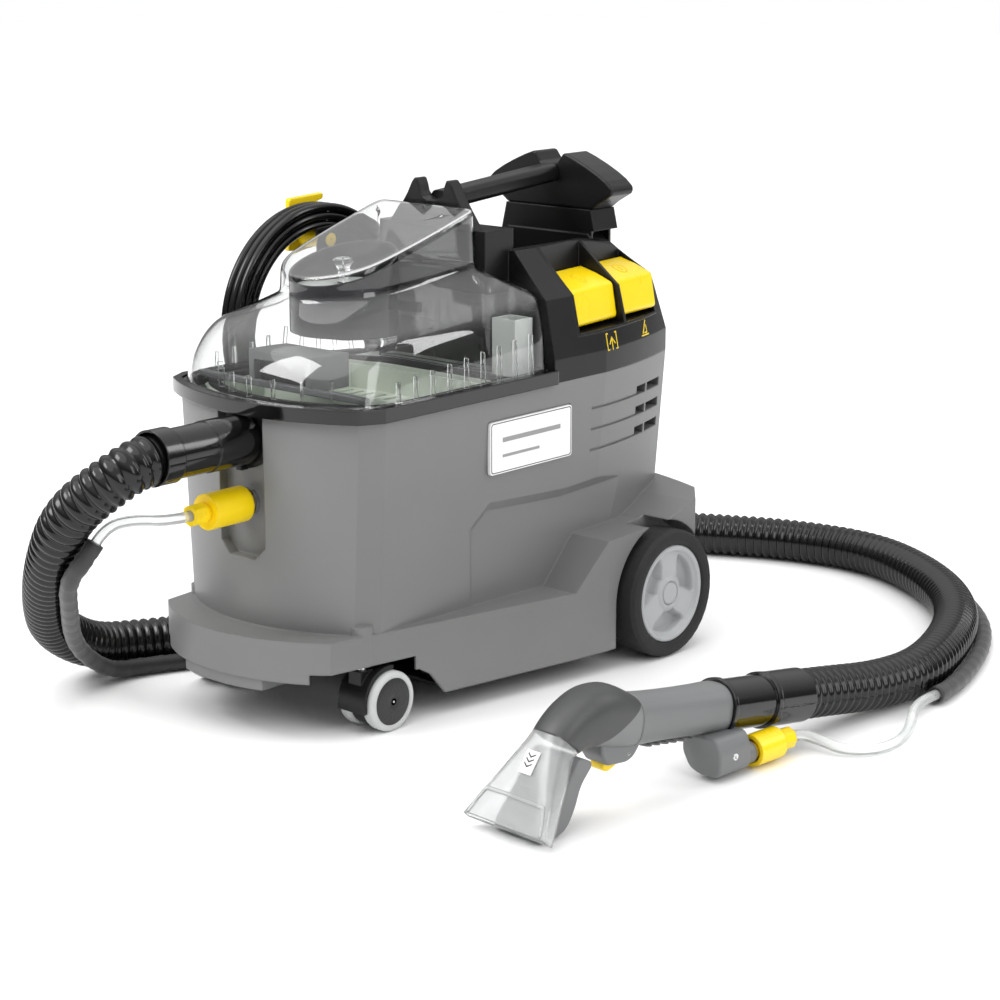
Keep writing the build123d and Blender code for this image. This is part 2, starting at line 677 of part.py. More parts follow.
def rim():
    x0, x1 = WHEEL_OUT - WHEEL_W + 2, WHEEL_OUT - 2
    drum = cylinder_x(RIM_R, x0, x1, WHEEL_Y, WHEEL_R) - cylinder_x(RIM_R - 5, x0 - 1, x1 + 1, WHEEL_Y, WHEEL_R)
    web = cylinder_x(RIM_R - 4, x1 - 12, x1 - 8, WHEEL_Y, WHEEL_R)
    hub = cylinder_x(14, x0, x1, WHEEL_Y, WHEEL_R)
    spokes = []
    for k in range(3):
        bar = box(x1 - 12, x1 - 1, -9, 9, 8, RIM_R - 3)
        spokes.append(Pos(0, WHEEL_Y, WHEEL_R) * Rot(30 + 120 * k, 0, 0) * bar)
    wheel = fuse([drum + web + hub] + spokes)
    return wheel - cylinder_x(AXLE_R + FIT, x0 - 5, WHEEL_OUT - 5, WHEEL_Y, WHEEL_R)


def hub_cap():
    return cylinder_x(10, WHEEL_OUT - 2, WHEEL_OUT - 0.5, WHEEL_Y, WHEEL_R)


def caster_pins(x):
    """The swivel stem and the wheel axle of one caster, both steel."""
    axle_y = CASTER_Y + CASTER_TRAIL
    stem = cylinder_z(5, 42, FOOT_Z - 7, x, CASTER_Y)
    reach = CASTER_INNER + CASTER_WHEEL_W
    axle = cylinder_x(3, x - reach, x + reach, axle_y, CASTER_R)
    return [stem, axle]


def caster_hood(x):
    """The black hood between and over the two wheels."""
    axle_y, axle_z = CASTER_Y + CASTER_TRAIL, CASTER_R
    outer = CASTER_R + 4.5
    half = CASTER_INNER + CASTER_WHEEL_W - 5
    web = cylinder_x(CASTER_R - 2, x - 7, x + 7, axle_y, axle_z) & box(x - 9, x + 9, axle_y - 60, axle_y + 60, 7, 60)
    neck = box(x - 7, x + 7, CASTER_Y - 7, axle_y, axle_z, 2 * CASTER_R + 3)
    arch = cylinder_x(outer, x - half, x + half, axle_y, axle_z)
    arch = arch - cylinder_x(CASTER_R + 1.3, x - 30, x + 30, axle_y, axle_z)
    cover = side_prism([(axle_y + 12, 90), (axle_y, axle_z), (axle_y - 60, axle_z - 12), (axle_y - 60, 90)],
                       x - 30, x + 30)
    hood = web + neck + (arch & cover)
    hood = hood - cylinder_z(5, 42, 90, x, CASTER_Y)
    return hood - cylinder_x(3, x - 40, x + 40, axle_y, axle_z)


def caster_wheels(x):
    axle_y, axle_z = CASTER_Y + CASTER_TRAIL, CASTER_R
    solids = []
    near, far = CASTER_INNER, CASTER_INNER + CASTER_WHEEL_W
    for x0, x1 in ((x - far, x - near), (x + near, x + far)):
        wheel = cylinder_x(CASTER_R, x0, x1, axle_y, axle_z)
        groove = cylinder_x(CASTER_R - 5, x1 - 1, x1 + 2, axle_y, axle_z) - cylinder_x(10, x1 - 3, x1 + 3, axle_y, axle_z)
        groove = groove + cylinder_x(CASTER_R - 5, x0 - 2, x0 + 1, axle_y, axle_z)
        wheel = wheel - groove - cylinder_x(3 + FIT, x0 - 1, x1 + 1, axle_y, axle_z)
        solids.append(wheel)
    return solids


# ---- cable hook, gland, coil, plug ----
HOOK_R = 8.0
HOOK_Y = COIL_CENTRE[1]
HOOK_Z = COIL_CENTRE[2] + COIL_R - COIL_BAND - HOOK_R - 1.0


def hook_arm():
    """The housing's arm beside the lid that carries the cable hook."""
    arm = side_prism([(HOOK_Y - 14, HOOK_Z - 14), (HOOK_Y + 10, HOOK_Z - 16), (LID_BACK + 30, 300),
                      (LID_BACK + 40, 345), (HOOK_Y + 10, HOOK_Z + 14), (HOOK_Y - 14, HOOK_Z + 12)],
                     -RIM_HALF - 3, -RIM_HALF)
    root = box(-RIM_HALF - 1, -96, LID_BACK + 12, LID_BACK + 40, 296, 335)
    return arm + root


def hook_bore():
    return cylinder_x(4 + FIT, -RIM_HALF - 10, -RIM_HALF + 10, HOOK_Y, HOOK_Z)


def cable_hook():
    """The turning hook: a round post, with an upright lip outside the coil."""
    outer_x = COIL_CENTRE[0] - COIL_BAND / 2 - 1.0
    post = cylinder_x(HOOK_R, outer_x, -RIM_HALF - 3 - GAP, HOOK_Y, HOOK_Z)
    pivot = cylinder_x(4, -RIM_HALF - 4, -RIM_HALF + 1, HOOK_Y, HOOK_Z)
    clip = cylinder_x(6.5, -RIM_HALF + GAP, -RIM_HALF + 2, HOOK_Y, HOOK_Z)
    lip = side_prism([(HOOK_Y - 20, HOOK_Z - 12), (HOOK_Y + 12, HOOK_Z - 12), (HOOK_Y + 10, HOOK_Z + 34),
                      (HOOK_Y + 26, HOOK_Z + 36), (HOOK_Y + 26, HOOK_Z + 39), (HOOK_Y - 17, HOOK_Z + 37)],
                     outer_x - 6, outer_x)
    return post + pivot + clip + lip


GLAND_Y, GLAND_Z = 122.0, 296.0


def gland_bore():
    return cylinder_x(7, -RIM_HALF - 5, -RIM_HALF + 35, GLAND_Y, GLAND_Z)


def cable_gland():
    """The tapered strain relief where the mains lead leaves the housing."""
    x0 = -RIM_HALF + 2
    neck = cylinder_x(7, x0 - 1, x0 + 14, GLAND_Y, GLAND_Z)
    flange = cylinder_x(9.5, x0 - 6, x0 - 3, GLAND_Y, GLAND_Z)
    taper = Pos(x0 - 6 - 10, GLAND_Y, GLAND_Z) * Rot(0, -90, 0) * Cone(7, 5.5, 20)
    bore = cylinder_x(CABLE_D / 2, x0 - 60, x0 - 20, GLAND_Y, GLAND_Z)
    return flange + neck + taper + cylinder_x(7, x0 - 4, x0, GLAND_Y, GLAND_Z) - bore


def tube(points, diameter, keep=0, bore=0.0):
    """A round cord along straight runs joined by tangent arcs; returns the solid and its length."""
    corners = [Vector(*p) for p in points]
    runs = [(b - a).length for a, b in zip(corners, corners[1:])]
    radii = []
    for k in range(1, len(corners) - 1):
        turn = math.radians((corners[k] - corners[k - 1]).get_angle(corners[k + 1] - corners[k]))
        radii.append(0.45 * min(runs[k - 1], runs[k]) / math.tan(turn / 2))
    path = FilletPolyline(*points, radius=radii)
    start = Plane(origin=corners[0], z_dir=corners[1] - corners[0])
    section = start * Circle(diameter / 2)
    solid = sweep(section, path=path)
    if bore:
        solid = solid - sweep(start * Circle(bore / 2), path=path)
    if not keep:
        expected = math.pi / 4 * (diameter ** 2 - bore ** 2) * path.length
        print(f"cord d={diameter:.0f} length={path.length:.0f} volume/expected={solid.volume / expected:.3f}")
        print("   radii", [round(r) for r in radii])
    return solid, path.length


GLAND_TIP_X = -RIM_HALF - 27.0
LEAD_POINTS = [(-RIM_HALF - 18, GLAND_Y, GLAND_Z), (-160, GLAND_Y, GLAND_Z), (-173, 136, 260), (-160, 130, 222),
               (-140, 106, 194), (-134, 66, 188), (-134, 22, 184.2)]
TAIL_POINTS = [(-134, -16, 182.4), (-134, -48, 182.4), (-140, -78, 178), (-143, -106, 184)]


def mains_lead():
    lead = tube(LEAD_POINTS, CABLE_D)[0]
    tail = tube(TAIL_POINTS, CABLE_D)[0]
    return [lead, tail]


def mains_coil():
    x, y, z = COIL_CENTRE
    outer = cylinder_x(COIL_R, x - COIL_BAND / 2, x + COIL_BAND / 2, y, z)
    return outer - cylinder_x(COIL_R - COIL_BAND, x - COIL_BAND, x + COIL_BAND, y, z)


def mains_plug():
    end = Vector(*TAIL_POINTS[-1])
    heading = (end - Vector(*TAIL_POINTS[-2])).normalized()
    plane = Plane(origin=end, x_dir=(1, 0, 0), z_dir=heading)
    neck = extrude(plane * Circle(6), amount=14)
    body = extrude(plane.offset(14) * Circle(18), amount=24)
    pins = [extrude(plane.offset(38) * Pos(dx, 0) * Circle(2.4), amount=19) for dx in (-9.5, 9.5)]
    return fuse([neck + body] + pins)


# ---- hose, sleeve and couplings ----
CUFF_END_Y = -319.0
HOSE_START_Y = -306.0
HOSE_POINTS = [(0, HOSE_START_Y, PORT_Z), (0, -324, PORT_Z), (-7, -349, 229), (-43, -371, 196), (-90, -352, 143),
               (-140, -317, 96), (-177, -282, 58), (-193, -229, 26), (-183, -187, 21.5), (-158, -139, 21.5),
               (-178, -60, 21.5), (-205, 41, 21.5), (-219, 160, 21.5), (-202, 288, 21.5), (-136, 407, 21.5),
               (-39, 459, 21.5), (48, 501, 21.5), (143, 512, 21.5), (225, 472, 21.5), (298, 410, 21.5),
               (350, 329, 21.5), (389, 213, 21.5), (386, 142, 23), (375.63, 70.72, 33.05),
               (371.82, 25.38, 39.19)]
SPRAY_START = (0, -279.0, SPRAY_PORT_Z)
SLEEVE_FIRST, SLEEVE_LAST = 3, 27
SPRAY_POINTS = [(0, -275, 186), (0, -301, 186), (-13, -326, 190), (-28, -343, 185), (-36, -359, 159),
                (-54, -363, 138), (-84, -338, 105), (-125, -304, 68), (-154, -270, 37), (-162, -234, 11),
                (-159, -199, 8), (-131, -142, 8), (-152, -53, 8), (-179, 47, 8), (-189, 131, 8),
                (-184, 176, 19), (-188, 224, 46), (-214, 260, 59), (-236, 299, 41), (-226, 346, 8),
                (-154, 427, 8), (-52, 483, 8), (43, 528, 8), (148, 538, 8), (240, 494, 8), (319, 426, 8),
                (374, 340, 8), (415, 220, 8), (417, 151, 12), (437, 113, 5), (450, 76, 5), (447, 46, 5),
                (428, 26, 6), (408, 24, 10), (393.1, 16.06, 15), (391.61, -1.88, 15)]


def suction_hose():
    return tube(HOSE_POINTS, HOSE_D, bore=HOSE_D - 6)[0]


def spray_hose():
    return tube(SPRAY_POINTS, SPRAY_D)[0]


def midpoint(a, b):
    return tuple((p + q) / 2 for p, q in zip(a, b))


def hose_sleeve():
    """The loose sleeve that ties the spray hose to the suction hose."""
    first = midpoint(SPRAY_POINTS[SLEEVE_FIRST], SPRAY_POINTS[SLEEVE_FIRST + 1])
    last = midpoint(SPRAY_POINTS[SLEEVE_LAST], SPRAY_POINTS[SLEEVE_LAST + 1])
    points = [first] + SPRAY_POINTS[SLEEVE_FIRST + 1:SLEEVE_LAST + 1] + [last]
    corners = [Vector(*p) for p in SPRAY_POINTS]
    runs = [(b - a).length for a, b in zip(corners, corners[1:])]
    radii = []
    for k in range(SLEEVE_FIRST + 1, SLEEVE_LAST + 1):
        turn = math.radians((corners[k] - corners[k - 1]).get_angle(corners[k + 1] - corners[k]))
        radii.append(0.45 * min(runs[k - 1], runs[k]) / math.tan(turn / 2))
    path = FilletPolyline(*points, radius=radii)
    start = Plane(origin=points[0], z_dir=Vector(*points[1]) - Vector(*points[0]))
    outer = sweep(start * Circle(SLEEVE_D / 2), path=path)
    inner = sweep(start * Circle(SPRAY_D / 2 + GAP), path=path)
    print(f"sleeve length={path.length:.0f}", "radii", [round(r) for r in radii])
    return outer - inner


def port_socket():
    """The collar in the nose that the hose cuff plugs into."""
    y0 = RIM_FRONT + 11
    tube_part = cylinder_y(20, y0 - 3, TANK_FRONT - 1, 0, PORT_Z)
    flange = cylinder_y(25, y0 - 4, y0, 0, PORT_Z) & box(-25, 25, y0 - 9, y0 + 4, 200, RIM_Z - 1)
    pin = box(-3, 3, y0 - 12, y0 - 4, PORT_Z - 25.5, PORT_Z - 22)
    return tube_part + flange + pin - cylinder_y(17, y0 - 20, TANK_FRONT + 9, 0, PORT_Z)


CUFF_SEAM_Y = -262.0


def hose_cuff():
    """The stepped cuff at the machine's end of the suction hose."""
    y0 = RIM_FRONT + 7 - GAP
    front = cylinder_y(21.5, CUFF_SEAM_Y, y0, 0, PORT_Z)
    rear = cylinder_y(20.7, CUFF_END_Y + 14, CUFF_SEAM_Y, 0, PORT_Z)
    collar = cylinder_y(HOSE_D / 2 + 2, CUFF_END_Y, CUFF_END_Y + 18, 0, PORT_Z)
    cup = cylinder_y(HOSE_D / 2, CUFF_END_Y - 1, HOSE_START_Y, 0, PORT_Z)
    return front + rear + collar - cup - cylinder_y(17, CUFF_END_Y, y0 + 1, 0, PORT_Z)


def spray_socket():
    y0 = RIM_FRONT + 11
    flange = cylinder_y(12, y0 - 4, y0, 0, SPRAY_PORT_Z)
    stem = cylinder_y(9, y0 - 10, RIM_FRONT + 25, 0, SPRAY_PORT_Z)
    return flange + stem


def coupling_core(start, heading, core):
    """The hose side of a quick coupling: barbed core and nut, on the given axis."""
    plane = Plane(origin=start, z_dir=heading)
    nut = extrude(plane * RegularPolygon(9, 8), amount=14)
    pin = extrude(plane.offset(14) * Circle(7), amount=core)
    bore = extrude(plane.offset(-1) * Circle(SPRAY_D / 2 + 0.1), amount=5)
    return nut + pin - bore


def coupling_collar(start, heading, radius, length):
    """The sleeve that is pulled back to let a coupling go."""
    plane = Plane(origin=start, z_dir=heading)
    outer = extrude(plane.offset(17) * Circle(radius), amount=length)
    hollow = extrude(plane.offset(22) * Circle(radius - 3.5), amount=length)
    return outer - hollow - extrude(plane.offset(15) * Circle(7 + FIT), amount=10)


def tool(shape):
    """Stands a piece of the hand tool where the tool lies."""
    x, y, turn = TOOL_FRAME
    return Pos(x, y, 0) * Rot(0, 0, turn) * shape


def tool_axis_z(along):
    return TOOL_Z - TOOL_FALL * (along - TOOL_START)


# ---- hand tool ----

def tool_plane(along):
    """A plane square to the handle's axis; its Y points down."""
    return Plane(origin=(0, along, tool_axis_z(along)), x_dir=(1, 0, 0), z_dir=(0, 1, -TOOL_FALL))


def tool_rod(s0, s1, radius):
    length = (s1 - s0) * math.hypot(1, TOOL_FALL)
    return extrude(tool_plane(s0) * Circle(radius), amount=length)


def tool_cuff():
    body = tool_rod(TOOL_END - 43, TOOL_END, HOSE_D / 2 + 1.5)
    body = body - tool_rod(TOOL_END - 14, TOOL_END + 2, HOSE_D / 2 + 0.1)
    return tool(body - tool_rod(TOOL_END - 50, TOOL_END, 17))


def tool_sleeve():
    """The turning sleeve between the hose cuff and the handle."""
    s0, s1 = TOOL_START + 99.3, TOOL_END - 43.3
    body = tool_rod(s0 + 3, s1 - 3, 21) + tool_rod(s0, s0 + 4, 23) + tool_rod(s1 - 5, s1, 23)
    return tool(body - tool_rod(s0 - 2, s1 + 2, 17))


HANDLE_START, HANDLE_END = 106.5, 232.0


def tool_handle():
    """The grip, with the trigger's housing under its front end."""
    s0, s1 = TOOL_START - 4, TOOL_START + 99
    grip = tool_rod(s0, s1, 20)
    pod = box(-12, 12, TOOL_START - 37, TOOL_START, 36, 58)
    well = box(-8.5, 8.5, TOOL_START - 36, TOOL_START - 6, 30, 50)
    neck_space = neck_solid(GAP)
    body = grip + (pod - neck_space) - well - tool_rod(s0 - 2, s1 + 2, 15)
    return tool(body - neck_solid() - trigger_pin_rod(24.5, 1.6))


def trigger_pin_rod(length, radius):
    """The cross pin of the trigger."""
    return cylinder_x(radius, -length / 2, length / 2, TOOL_START - 11, 42)


def trigger():
    """The trigger under the handle, on a cross pin near its rear end."""
    blade = side_prism([(TOOL_START - 34, 33), (TOOL_START - 16, 36), (TOOL_START - 8, 38), (TOOL_START - 8, 45),
                        (TOOL_START - 14, 46), (TOOL_START - 34, 42)], -7, 7)
    return tool(blade - trigger_pin_rod(60, 1.6 + FIT))


def trigger_pin():
    return tool(trigger_pin_rod(24, 1.6))


def neck_section(along, z, tilt, width, depth, corner, grow=0.0):
    """A rounded section of the neck; tilt is the fall of its axis towards the mouth, in degrees."""
    heading = (0, -math.cos(math.radians(tilt)), -math.sin(math.radians(tilt)))
    plane = Plane(origin=(0, along, z), x_dir=(1, 0, 0), z_dir=heading)
    return plane * RectangleRounded(width + 2 * grow, depth + 2 * grow, corner + grow)


def neck_solid(grow=0.0):
    """The bent neck between the grip and the nozzle."""
    s0 = TOOL_START - 4
    sections = [neck_section(s0 + grow, TOOL_Z + 0.5, -7.7, 39.6, 39.6, 19, grow),
                neck_section(s0 - 26, TOOL_Z + 11, -11, 43, 48, 18, grow),
                neck_section(s0 - 55, TOOL_Z + 11, 16, 41, 40, 17, grow),
                neck_section(s0 - 74 - grow, TOOL_Z + 1, 50, 37, 33, 14, grow)]
    return loft(sections, ruled=True)


def lid_notch(inset=0.0):
    """The lid is cut away behind its raised block, to clear the housing when it is lifted."""
    return box(-BLOCK_HALF - 5 - inset, BLOCK_HALF + 5 + inset, BLOCK_BACK - inset, 80, LID_Z - 5, HIGH)


def tool_neck():
    s0 = TOOL_START - 4
    ends = neck_section(s0 - 74, TOOL_Z + 1, 50, 37, 33, 14, -3.5)
    mouth = extrude(ends, amount=4, both=True)
    back = tool_rod(s0 - 6, s0 + 6, 15)
    return tool(neck_solid() - neck_solid(-4) - mouth - back)


def nozzle_section(share, half, depth, grow=0.0):
    """A flat section of the nozzle, at a share of the way from the neck to the mouth."""
    top = Vector(0, TOOL_START - 78.6, TOOL_Z + 0.6)
    mouth = Vector(0, 4, 8)
    heading = (mouth - top).normalized()
    plane = Plane(origin=top + (mouth - top) * share, x_dir=(1, 0, 0), z_dir=heading)
    corner = 0.3 * depth + 0.4 * depth * (1 - share)
    return plane * RectangleRounded(2 * (half + grow), 2 * (depth + grow), min(corner, 0.8 * (depth + grow)))


def nozzle_form(grow=0.0, over=0.0):
    return loft([nozzle_section(-over, 17, 15, grow), nozzle_section(0.42, 27, 12, grow),
                 nozzle_section(1 + over, MOUTH_HALF, 5.5, grow)], ruled=True)


def nozzle():
    """The clear fan-shaped nozzle, a thin-walled funnel from the neck to the wide mouth."""
    return tool(nozzle_form() - nozzle_form(-2.2, 0.02))


def nozzle_back():
    """The spray-jet housing behind the nozzle."""
    outline = [(72, 51), (47, 18), (33, 1), (8, 1), (0, 20), (60, 80)]
    block = side_prism(outline, -19, 19)
    hollow = side_prism([(64, 46), (44, 20), (31, 4), (16, 4), (10, 20), (52, 66)], -16, 16)
    body = block - nozzle_form(GAP) - neck_solid(GAP) - hollow
    solids = sorted(body.solids(), key=lambda solid: solid.center().Y)
    return tool(solids[-1])


def spray_jet():
    """The spray bar across the inside of the nozzle's back."""
    return tool(cylinder_x(3, -16, 16, 32, 13))


VALVE_X = 22.0            # how far the valve's coupling stands beside the handle's axis
VALVE_Z = 15.0
TOOL_COUPLING = ((VALVE_X, TOOL_START + 166, VALVE_Z), (0, -1, 0))


def valve_block():
    """The valve under the handle that the spray hose's coupling plugs into."""
    s0, s1 = TOOL_START + 70, TOOL_START + 108
    block = box(-8, 33, s0, s1, 4, 38)
    block = chamfer(block.edges().filter_by(Axis.Y), 6)
    block = block - tool_rod(s0 - 9, TOOL_START + 99, 20) - tool_rod(TOOL_START + 98.9, s1 + 9, 23 + GAP)
    port = cylinder_y(9, s1 - 6, s1 + 9, VALVE_X, VALVE_Z)
    socket = cylinder_y(7, s1 - 4, s1 + 10, VALVE_X, VALVE_Z)
    return tool(block + port - socket)


SAVED = {
    "body_shell": lambda: [body_shell()],
    "underside_pan": lambda: [underside_pan()],
    "pan_screws": pan_screws,
    "rim_band": lambda: [rim_band()],
    "waste_tank": lambda: [waste_tank()] + filter_posts(),
    "lid_gasket": lambda: [lid_gasket()],
    "fluff_filter": lambda: [fluff_filter()],
    "lid": lambda: [lid()],
    "suction_tower": lambda: [suction_tower()],
    "float_disc": lambda: [float_disc()],
    "deflector": lambda: [deflector()],
    "rear_housing": lambda: [rear_housing()],
    "front_saddle": lambda: [front_saddle()],
    "rear_saddle": lambda: [rear_saddle()],
    "handle_bar": lambda: [handle_bar()],
    "switch_panel": lambda: [switch_panel()],
    "rocker_suction": lambda: [rocker(1)],
    "rocker_spray": lambda: [rocker(0)],
    "label_plate": lambda: [label_plate()],
    "motor_housing": lambda: [motor_housing()],
    "impeller": lambda: [impeller()],
    "pump": lambda: [pump()],
    "pump_line": lambda: [pump_line()],
    "fresh_tank": lambda: [fresh_tank(), tank_shelf()],
    "air_duct": lambda: [air_duct()],
    "rear_axle": lambda: [rear_axle()],
    "tyre_right": lambda: [tyre()],
    "tyre_left": lambda: [mirror_x(tyre())],
    "rim_right": lambda: [rim(), hub_cap()],
    "rim_left": lambda: [mirror_x(rim()), mirror_x(hub_cap())],
    "caster_hood_right": lambda: [caster_hood(CASTER_X)],
    "caster_hood_left": lambda: [caster_hood(-CASTER_X)],
    "caster_pins_right": lambda: caster_pins(CASTER_X),
    "caster_pins_left": lambda: caster_pins(-CASTER_X),
    "caster_wheels_right": lambda: caster_wheels(CASTER_X),
    "caster_wheels_left": lambda: caster_wheels(-CASTER_X),
    "cable_hook": lambda: [cable_hook()],
    "cable_gland": lambda: [cable_gland()],
    "mains_lead": mains_lead,
    "mains_coil": lambda: [mains_coil()],
    "mains_plug": lambda: [mains_plug()],
    "port_socket": lambda: [port_socket()],
    "hose_cuff": lambda: [hose_cuff()],
    "suction_hose": lambda: [suction_hose()],
    "spray_hose": lambda: [spray_hose()],
    "hose_sleeve": lambda: [hose_sleeve()],
    "spray_socket": lambda: [spray_socket()],
    "coupling_core_machine": lambda: [coupling_core(SPRAY_START, (0, 1, 0), 42)],
    "coupling_collar_machine": lambda: [coupling_collar(SPRAY_START, (0, 1, 0), 15, 40)],
    "coupling_core_tool": lambda: [tool(coupling_core(*TOOL_COUPLING, 48))],
    "coupling_collar_tool": lambda: [tool(coupling_collar(*TOOL_COUPLING, 13, 30))],
    "tool_cuff": lambda: [tool_cuff()],
    "tool_sleeve": lambda: [tool_sleeve()],
    "tool_handle": lambda: [tool_handle()],
    "trigger": lambda: [trigger()],
    "small_pins": lambda: [trigger_pin()] + rocker_pins(),
    "valve_block": lambda: [valve_block(), spray_jet()],
    "tool_neck": lambda: [tool_neck()],
    "nozzle": lambda: [nozzle()],
    "nozzle_back": lambda: [nozzle_back()],
}

for node, make in SAVED.items():
    save(node, *make())
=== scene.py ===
import math

import bmesh
import bpy
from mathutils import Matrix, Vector


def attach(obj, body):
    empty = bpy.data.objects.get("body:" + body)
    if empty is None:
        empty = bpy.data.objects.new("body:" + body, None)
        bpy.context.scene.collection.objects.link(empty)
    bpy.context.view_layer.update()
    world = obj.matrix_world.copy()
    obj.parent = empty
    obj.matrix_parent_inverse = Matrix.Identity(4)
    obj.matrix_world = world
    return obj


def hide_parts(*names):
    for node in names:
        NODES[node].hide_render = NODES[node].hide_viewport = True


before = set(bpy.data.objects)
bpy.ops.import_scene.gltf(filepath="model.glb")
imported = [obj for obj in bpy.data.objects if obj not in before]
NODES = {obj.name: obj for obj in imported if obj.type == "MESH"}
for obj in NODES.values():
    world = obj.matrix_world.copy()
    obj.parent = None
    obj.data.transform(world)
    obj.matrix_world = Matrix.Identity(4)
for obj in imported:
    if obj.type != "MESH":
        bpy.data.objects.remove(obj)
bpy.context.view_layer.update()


# ---------------------------------------------------------------- camera, lights, floor

CAMERA_PLACE = Vector((1.4611, -1.5754, 0.6753))
CAMERA_TARGET = Vector((0.0002, 0.0993, 0.1294))
CAMERA_LENS, CAMERA_SENSOR = 89.59, 36.0      # in millimetres
FLOOR_HALF = 9.0


def add_to_scene(name, data):
    made = bpy.data.objects.new(name, data)
    bpy.context.scene.collection.objects.link(made)
    return made


def aimed(heading):
    """The rotation that points a camera or a light along a heading."""
    return Vector(heading).to_track_quat("-Z", "Y").to_euler()


def place_camera():
    data = bpy.data.cameras.new("camera")
    data.lens = CAMERA_LENS
    data.sensor_width = CAMERA_SENSOR
    data.clip_end = 50.0
    camera = add_to_scene("camera", data)
    camera.location = CAMERA_PLACE
    camera.rotation_euler = aimed(CAMERA_TARGET - CAMERA_PLACE)
    bpy.context.scene.camera = camera


def area_light(name, place, target, size, power, size_y=None):
    data = bpy.data.lights.new(name, "AREA")
    data.energy = power
    data.shape = "RECTANGLE"
    data.size = size
    data.size_y = size_y or size
    light = add_to_scene(name, data)
    light.location = place
    light.rotation_euler = aimed(Vector(target) - Vector(place))


def sky(tree):
    """A pale sky, brighter overhead than at its edge, and plain white where it is seen directly."""
    background = tree.nodes["Background"]
    background.inputs["Color"].default_value = (1, 1, 1, 1)
    place = tree.nodes.new("ShaderNodeTexCoord")
    parts = tree.nodes.new("ShaderNodeSeparateXYZ")
    rise = tree.nodes.new("ShaderNodeMapRange")
    rise.interpolation_type = "SMOOTHSTEP"
    rise.inputs["From Min"].default_value = 0.05
    rise.inputs["From Max"].default_value = 0.75
    rise.inputs["To Min"].default_value = 0.16
    rise.inputs["To Max"].default_value = 1.05
    seen = tree.nodes.new("ShaderNodeLightPath")
    choose = tree.nodes.new("ShaderNodeMix")
    choose.inputs["B"].default_value = 1.0
    tree.links.new(place.outputs["Generated"], parts.inputs["Vector"])
    tree.links.new(parts.outputs["Z"], rise.inputs["Value"])
    tree.links.new(seen.outputs["Is Camera Ray"], choose.inputs["Factor"])
    tree.links.new(rise.outputs["Result"], choose.inputs["A"])
    tree.links.new(choose.outputs["Result"], background.inputs["Strength"])


def sun_light(name, aim, power, softness):
    data = bpy.data.lights.new(name, "SUN")
    data.energy = power
    data.angle = softness
    add_to_scene(name, data).rotation_euler = aimed(aim)


def light_scene():
    world = bpy.data.worlds.new("studio")
    bpy.context.scene.world = world
    world.use_nodes = True
    sky(world.node_tree)
    bpy.context.scene.view_settings.view_transform = "Standard"
    sun_light("wash", (0.12, 0.35, -1), 1.35, 1.2)
    area_light("key", (-1.0, -1.7, 1.9), (0, 0, 0.2), 1.1, 30)
    area_light("fill", (2.4, -0.2, 1.2), (0, 0, 0.2), 0.9, 14, 1.5)
    area_light("strip", (1.6, 1.4, 1.5), (0, 0.1, 0.25), 0.3, 9, 1.6)


def lay_floor(material):
    mesh = bpy.data.meshes.new("floor")
    plan = bmesh.new()
    bmesh.ops.create_grid(plan, x_segments=8, y_segments=8, size=FLOOR_HALF)
    plan.to_mesh(mesh)
    plan.free()
    floor = add_to_scene("floor", mesh)
    mesh.materials.append(material)


# ---------------------------------------------------------------- materials

MATERIALS = {}


def node_of(tree, kind, **settings):
    node = tree.nodes.new(kind)
    for key, value in settings.items():
        setattr(node, key, value)
    return node


